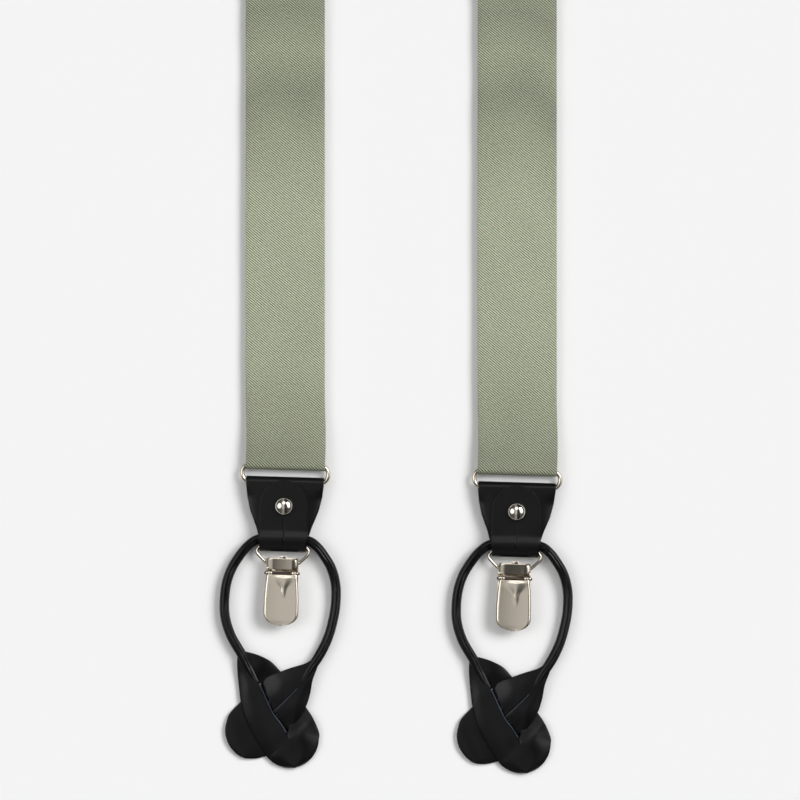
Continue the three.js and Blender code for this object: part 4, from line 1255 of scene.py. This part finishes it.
def stitched(lines, z):
    """Rows of stitches along lines of (x, y), at a height, and how many there are."""
    bm = bmesh.new()
    count = 0
    for line in lines:
        points = [Vector(p) for p in line]
        run = lengths(points)
        number = max(1, round(run[-1] / (STITCH + STITCH_GAP)))
        for i in range(number):
            at = run[-1] * (i + 0.5) / number
            where = next(k for k in range(1, len(run)) if run[k] >= at)
            a, b = points[where - 1], points[where]
            here = a.lerp(b, (at - run[where - 1]) / (run[where] - run[where - 1]))
            way = math.atan2((b - a).y, (b - a).x)
            shape = (Matrix.Translation((here.x, here.y, z)) @ Matrix.Rotation(way, 4, "Z")
                     @ Matrix.Diagonal((STITCH / 2, 0.32, 0.24, 1)))
            bmesh.ops.create_icosphere(bm, subdivisions=1, radius=1, matrix=shape)
            count += 1
    return as_mesh(bm), count


rows = [[(-15.0, y), (15.0, y)] for y in (21.0, 24.5)]
mesh, count = stitched(rows, 3.75)
hem_stitches = piece("back_hem_stitches", mesh, back, [thread], "back_hem", ["back_strap_hem"])
for vert in hem_stitches.data.vertices:  # the fold slopes down here
    local = back.inverted() @ vert.co
    drop = between([(19, 0.75), (22, 0.3), (24, 0.0), (27, -0.45)], local.y)
    vert.co.z += drop * MM
print("hem stitches:", count)

# %% [markdown]
# ## Leather patch
# The Y patch is two layers of the same leather, sewn together round the straps. Its sides sweep in from the
# two front straps to the back one. The outline is drawn once and used for both layers and for the stitches,
# which run 3 mm inside the edge.

# %% Patch
PATCH_HALF_LONG = 38.0
WIDE, NARROW = 39.0, 21.0


def bezier(points, steps):
    """Points along a quadratic or cubic curve, without the last."""
    points = [Vector(p) for p in points]
    line = []
    for i in range(steps):
        level = points
        t = i / steps
        while len(level) > 1:
            level = [a.lerp(b, t) for a, b in zip(level, level[1:])]
        line.append(level[0])
    return line


def patch_side():
    """The right half of the outline, from the middle of the bottom to the middle of the top."""
    low, high = -PATCH_HALF_LONG, PATCH_HALF_LONG
    line = bezier([(0, low + 9), (WIDE / 2, low + 1), (WIDE, low)], 20)
    line += bezier([(WIDE, low), (WIDE, -4), (NARROW, 4), (NARROW, high - 6)], 40)
    line += bezier([(NARROW, high - 6), (NARROW, high), (0, high + 1)], 20)
    return [*line, Vector((0, high + 1))]


def patch_mesh(z, puff):
    side = patch_side()
    outline = [(p.x, p.y) for p in side] + [(-p.x, p.y) for p in reversed(side[1:-1])]
    bm = bmesh.new()
    face = bm.faces.new([bm.verts.new((x, y, z)) for x, y in outline])
    for at in range(-36, 37, 3):
        for cut, way in (((0, at, 0), (0, 1, 0)), ((at, 0, 0), (1, 0, 0))):
            bmesh.ops.bisect_plane(bm, geom=[*bm.verts, *bm.edges, *bm.faces], dist=0.001, plane_co=cut,
                                   plane_no=way)
    bmesh.ops.remove_doubles(bm, verts=bm.verts, dist=0.02)
    edge_line = [Vector((x, y)) for x, y in outline]
    for vert in bm.verts:
        here = Vector((vert.co.x, vert.co.y))
        reach = min((here - p).length for p in edge_line)
        pillow = ease(reach / 6)
        vert.co.z += puff * pillow + 0.15 * ripple(here.x * 0.06, here.y * 0.06, z)
    return settled(bm, thickness=LEATHER, edge=0.24, rim=1)


def inset_line(distance):
    """The outline moved inwards, as one closed line."""
    side = patch_side()
    outline = side + [Vector((-p.x, p.y)) for p in reversed(side[1:-1])]
    moved = []
    for i, here in enumerate(outline):
        a, b = outline[i - 1], outline[(i + 1) % len(outline)]
        along = (b - a).normalized()
        moved.append(here + Vector((-along.y, along.x)) * distance)
    kept = [p for p in moved if min((p - q).length for q in outline) > distance * 0.93]
    return [*kept, kept[0]]


for name, z, puff in (("patch_front", 3.4, 0.35), ("patch_back", 0.6, 0.0)):
    piece(name + "_leather", patch_mesh(z, puff), Matrix.Scale(MM, 4), CUT_LEATHER, "root", [name])
mesh, count = stitched([inset_line(3.0)], 4.12)
piece("patch_stitches", mesh, Matrix.Scale(MM, 4), [thread], "root", ["patch_front"])
print("patch stitches:", count)

# %% [markdown]
# ## Adjusters
# The adjuster is a pressed frame behind the strap with two rails and a bar, and a gate that turns on a pin
# and bites the strap with a row of teeth. Its face is the brightest metal on the strap, slightly crowned with
# a rolled lower lip. The gate is a strip bent across, as sheet metal is, and its knuckle wraps round the pin.

# %% Adjusters
GATE_PIN_Y = ADJUSTER_Y + 8.5
GATE_PIN_Z = 4.7
GATE_HALF = 18.7
FRAME_HALF = 20.2
GATE_SHEET = 0.6
FRAME_SHEET = 1.2


def gate_mesh():
    knuckle = turn(GATE_PIN_Y, GATE_PIN_Z, 1.6, 1.6, -200, 88, 20)
    face = [(GATE_PIN_Y - 1.5, 6.33), (GATE_PIN_Y - 5, 6.5), (GATE_PIN_Y - 9, 6.45), (GATE_PIN_Y - 13, 6.2),
            (GATE_PIN_Y - 14.4, 5.9), (GATE_PIN_Y - 14.8, 5.6)]
    line = [*knuckle, *[tuple(p) for p in smooth(face, 4)]]
    bm, _ = strip([(y, z, GATE_HALF) for y, z in line], 24)
    for vert in bm.verts:  # the ends of the gate are pressed down a little
        share = abs(vert.co.x) / GATE_HALF
        if vert.co.y < GATE_PIN_Y - 1:
            vert.co.z += 0.35 * (1 - share ** 4) - 0.15
    bm = joined(settled(bm, thickness=GATE_SHEET, edge=0.14))
    low, high = GATE_PIN_Y - 2.6, GATE_PIN_Y - 1.4
    for x in range(-12, 13, 4):
        plate(bm, [(x - 1, low), (x + 1, low), (x + 0.6, high), (x - 0.6, high)], 2.95, 6.2)
    bmesh.ops.recalc_face_normals(bm, faces=bm.faces)
    return as_mesh(bm)


def frame_mesh():
    """The backing with its window, the two rails and the bar."""
    low, high = ADJUSTER_Y - 11, ADJUSTER_Y + 11
    xs = [-FRAME_HALF, -12, 12, FRAME_HALF]
    ys = [low, low + 6, high - 6, high]
    middle = FRAME_SHEET / 2
    bm = carried_grid(3, 3, lambda across, row: (Vector((xs[round(across * 3)], ys[row], middle)), (0, 0)))
    middles = {face: face.calc_center_median() for face in bm.faces}
    window = [face for face, at in middles.items() if abs(at.x) < 1 and abs(at.y - ADJUSTER_Y) < 1]
    bmesh.ops.delete(bm, geom=window, context="FACES")
    backing = settled(bm, thickness=FRAME_SHEET, edge=0.3)
    rail = [(low + 0.8, 0.1), (high - 0.8, 0.1), (high, 0.9), (high, 5.2), (high - 1.2, 6.4),
            (low + 1.2, 6.4), (low, 5.2), (low, 0.9)]
    bm = bmesh.new()
    for x in (-FRAME_HALF, FRAME_HALF - FRAME_SHEET):
        plate(bm, rail, x, x + FRAME_SHEET, UPRIGHT)
    bmesh.ops.recalc_face_normals(bm, faces=bm.faces)
    rails = settled(bm, edge=0.25)
    bar = wire([Vector((x, ADJUSTER_Y - 9, 5.1)) for x in (-19.4, 19.4)], 1.0)
    return as_mesh(joined(backing, rails, bar))


for end in ("left", "right"):
    place = level_place(end)
    end_piece(end, "adjuster_plate", frame_mesh(), [nickel], "front", "adjuster_frame", place=place)
    end_piece(end, "adjuster_face", gate_mesh(), [nickel_bright], "gate", "adjuster_gate",
              place=place)
    pin = wire([Vector((x, GATE_PIN_Y, GATE_PIN_Z)) for x in (-20.3, -20.1, 20.1, 20.3)], 0.8)
    end_piece(end, "adjuster_rivet", pin, [nickel], "front", "gate_pin", place=place)
print("adjuster face:", 2 * GATE_HALF, "mm wide")

# %% [markdown]
# ## Studio
# The suspenders lie on smooth white paper, a little rough to the touch, so it is made like the thread. The
# paper lies a hair below the frame's zero, so that flat undersides and paper don't fight for the same plane.

# %% Floor
paper = toothed_material("matt_white_paper", 0.9, "#f4f4f4", 1500.0, 0.01 * MM, 0.2, Specular_IOR_Level=0.1)
PAPER_GAP = 0.05 * MM
PAPER_HALF = 6.0  # metres, so that its edge is never in view
bm = bmesh.new()
bmesh.ops.create_grid(bm, x_segments=1, y_segments=1, size=PAPER_HALF)
floor = bpy.data.objects.new("paper_floor", as_mesh(bm))
floor.location.z = -PAPER_GAP
bpy.context.collection.objects.link(floor)
floor.data.materials.append(paper)
print("paper:", paper.name)

# %% [markdown]
# A soft key light from the upper right throws a short shadow to the left and downwards, and the sky fills it.
# The sky has a bright band left of the zenith, a dark gap beside it, and three soft panels: left, right and
# above. They give the polished metal something bright and something dark to show, and the leather its shine.

# %% Lights
KEY_FROM = Vector((0.86, 0.54, 1.0)).normalized()
KEY_STRENGTH = 1.9
KEY_ANGLE = 28
# how bright the sky is from the left (-1) over the zenith (0) to the right (1), with a dark gap right of it
SKY_STOPS = [(-1.0, "#747474"), (-0.34, "#848484"), (-0.14, "#d8d8d8"), (0.03, "#d8d8d8"), (0.09, "#484848"),
             (0.42, "#484848"), (0.55, "#848484"), (1.0, "#747474")]
# soft panels: the way to the panel's middle, its half angle in degrees, and how much light it adds
PANELS = [((-0.66, 0.08, 0.75), 18, 2.3), ((0.7, 0.1, 0.71), 15, 2.2), ((0.0, 0.5, 0.87), 12, 1.7)]

key_data = bpy.data.lights.new("key", "SUN")
key_data.energy = KEY_STRENGTH
key_data.angle = math.radians(KEY_ANGLE)
key = bpy.data.objects.new("key", key_data)
key.rotation_euler = (-KEY_FROM).to_track_quat("-Z", "Y").to_euler()
bpy.context.collection.objects.link(key)

world = bpy.data.worlds.new("studio")
bpy.context.scene.world = world
world.use_nodes = True
sky = world.node_tree
way = add(sky, "TexCoord", out="Generated")
sideways = add(sky, "SeparateXYZ", {"Vector": way}, "X")
upwards = add(sky, "SeparateXYZ", {"Vector": way}, "Y")
position = add(sky, "MapRange", {"Value": sideways, "From Min": -1.0})
band = add(sky, "ValToRGB", {"Fac": position}, stops=[((x + 1) / 2, level) for x, level in SKY_STOPS])
from_middle = add(sky, "Math", {0: upwards}, operation="ABSOLUTE")
fade = add(sky, "MapRange", {"Value": from_middle, "From Min": 0.15, "From Max": 0.5, "To Min": 1.0,
                             "To Max": 0.5}, interpolation_type="SMOOTHSTEP")
light = add(sky, "Math", {0: band, 1: fade}, operation="MULTIPLY")
for towards, half_angle, level in PANELS:
    near = add(sky, "VectorMath", {0: way, 1: Vector(towards).normalized()}, "Value", operation="DOT_PRODUCT")
    edge = {"From Min": cos_deg(half_angle + 7), "From Max": cos_deg(half_angle - 7), "To Max": level}
    glow = add(sky, "MapRange", {"Value": near, **edge}, interpolation_type="SMOOTHSTEP")
    light = add(sky, "Math", {0: light, 1: glow}, operation="ADD")
sky.links.new(light, sky.nodes["Background"].inputs["Color"])
print("key light from", [round(v, 2) for v in KEY_FROM], "and", len(PANELS), "soft panels")

# %% [markdown]
# The visual model keeps the frame's size, and the pieces made are counted.

# %% Count of pieces
print("pieces made:", len(PIECES))
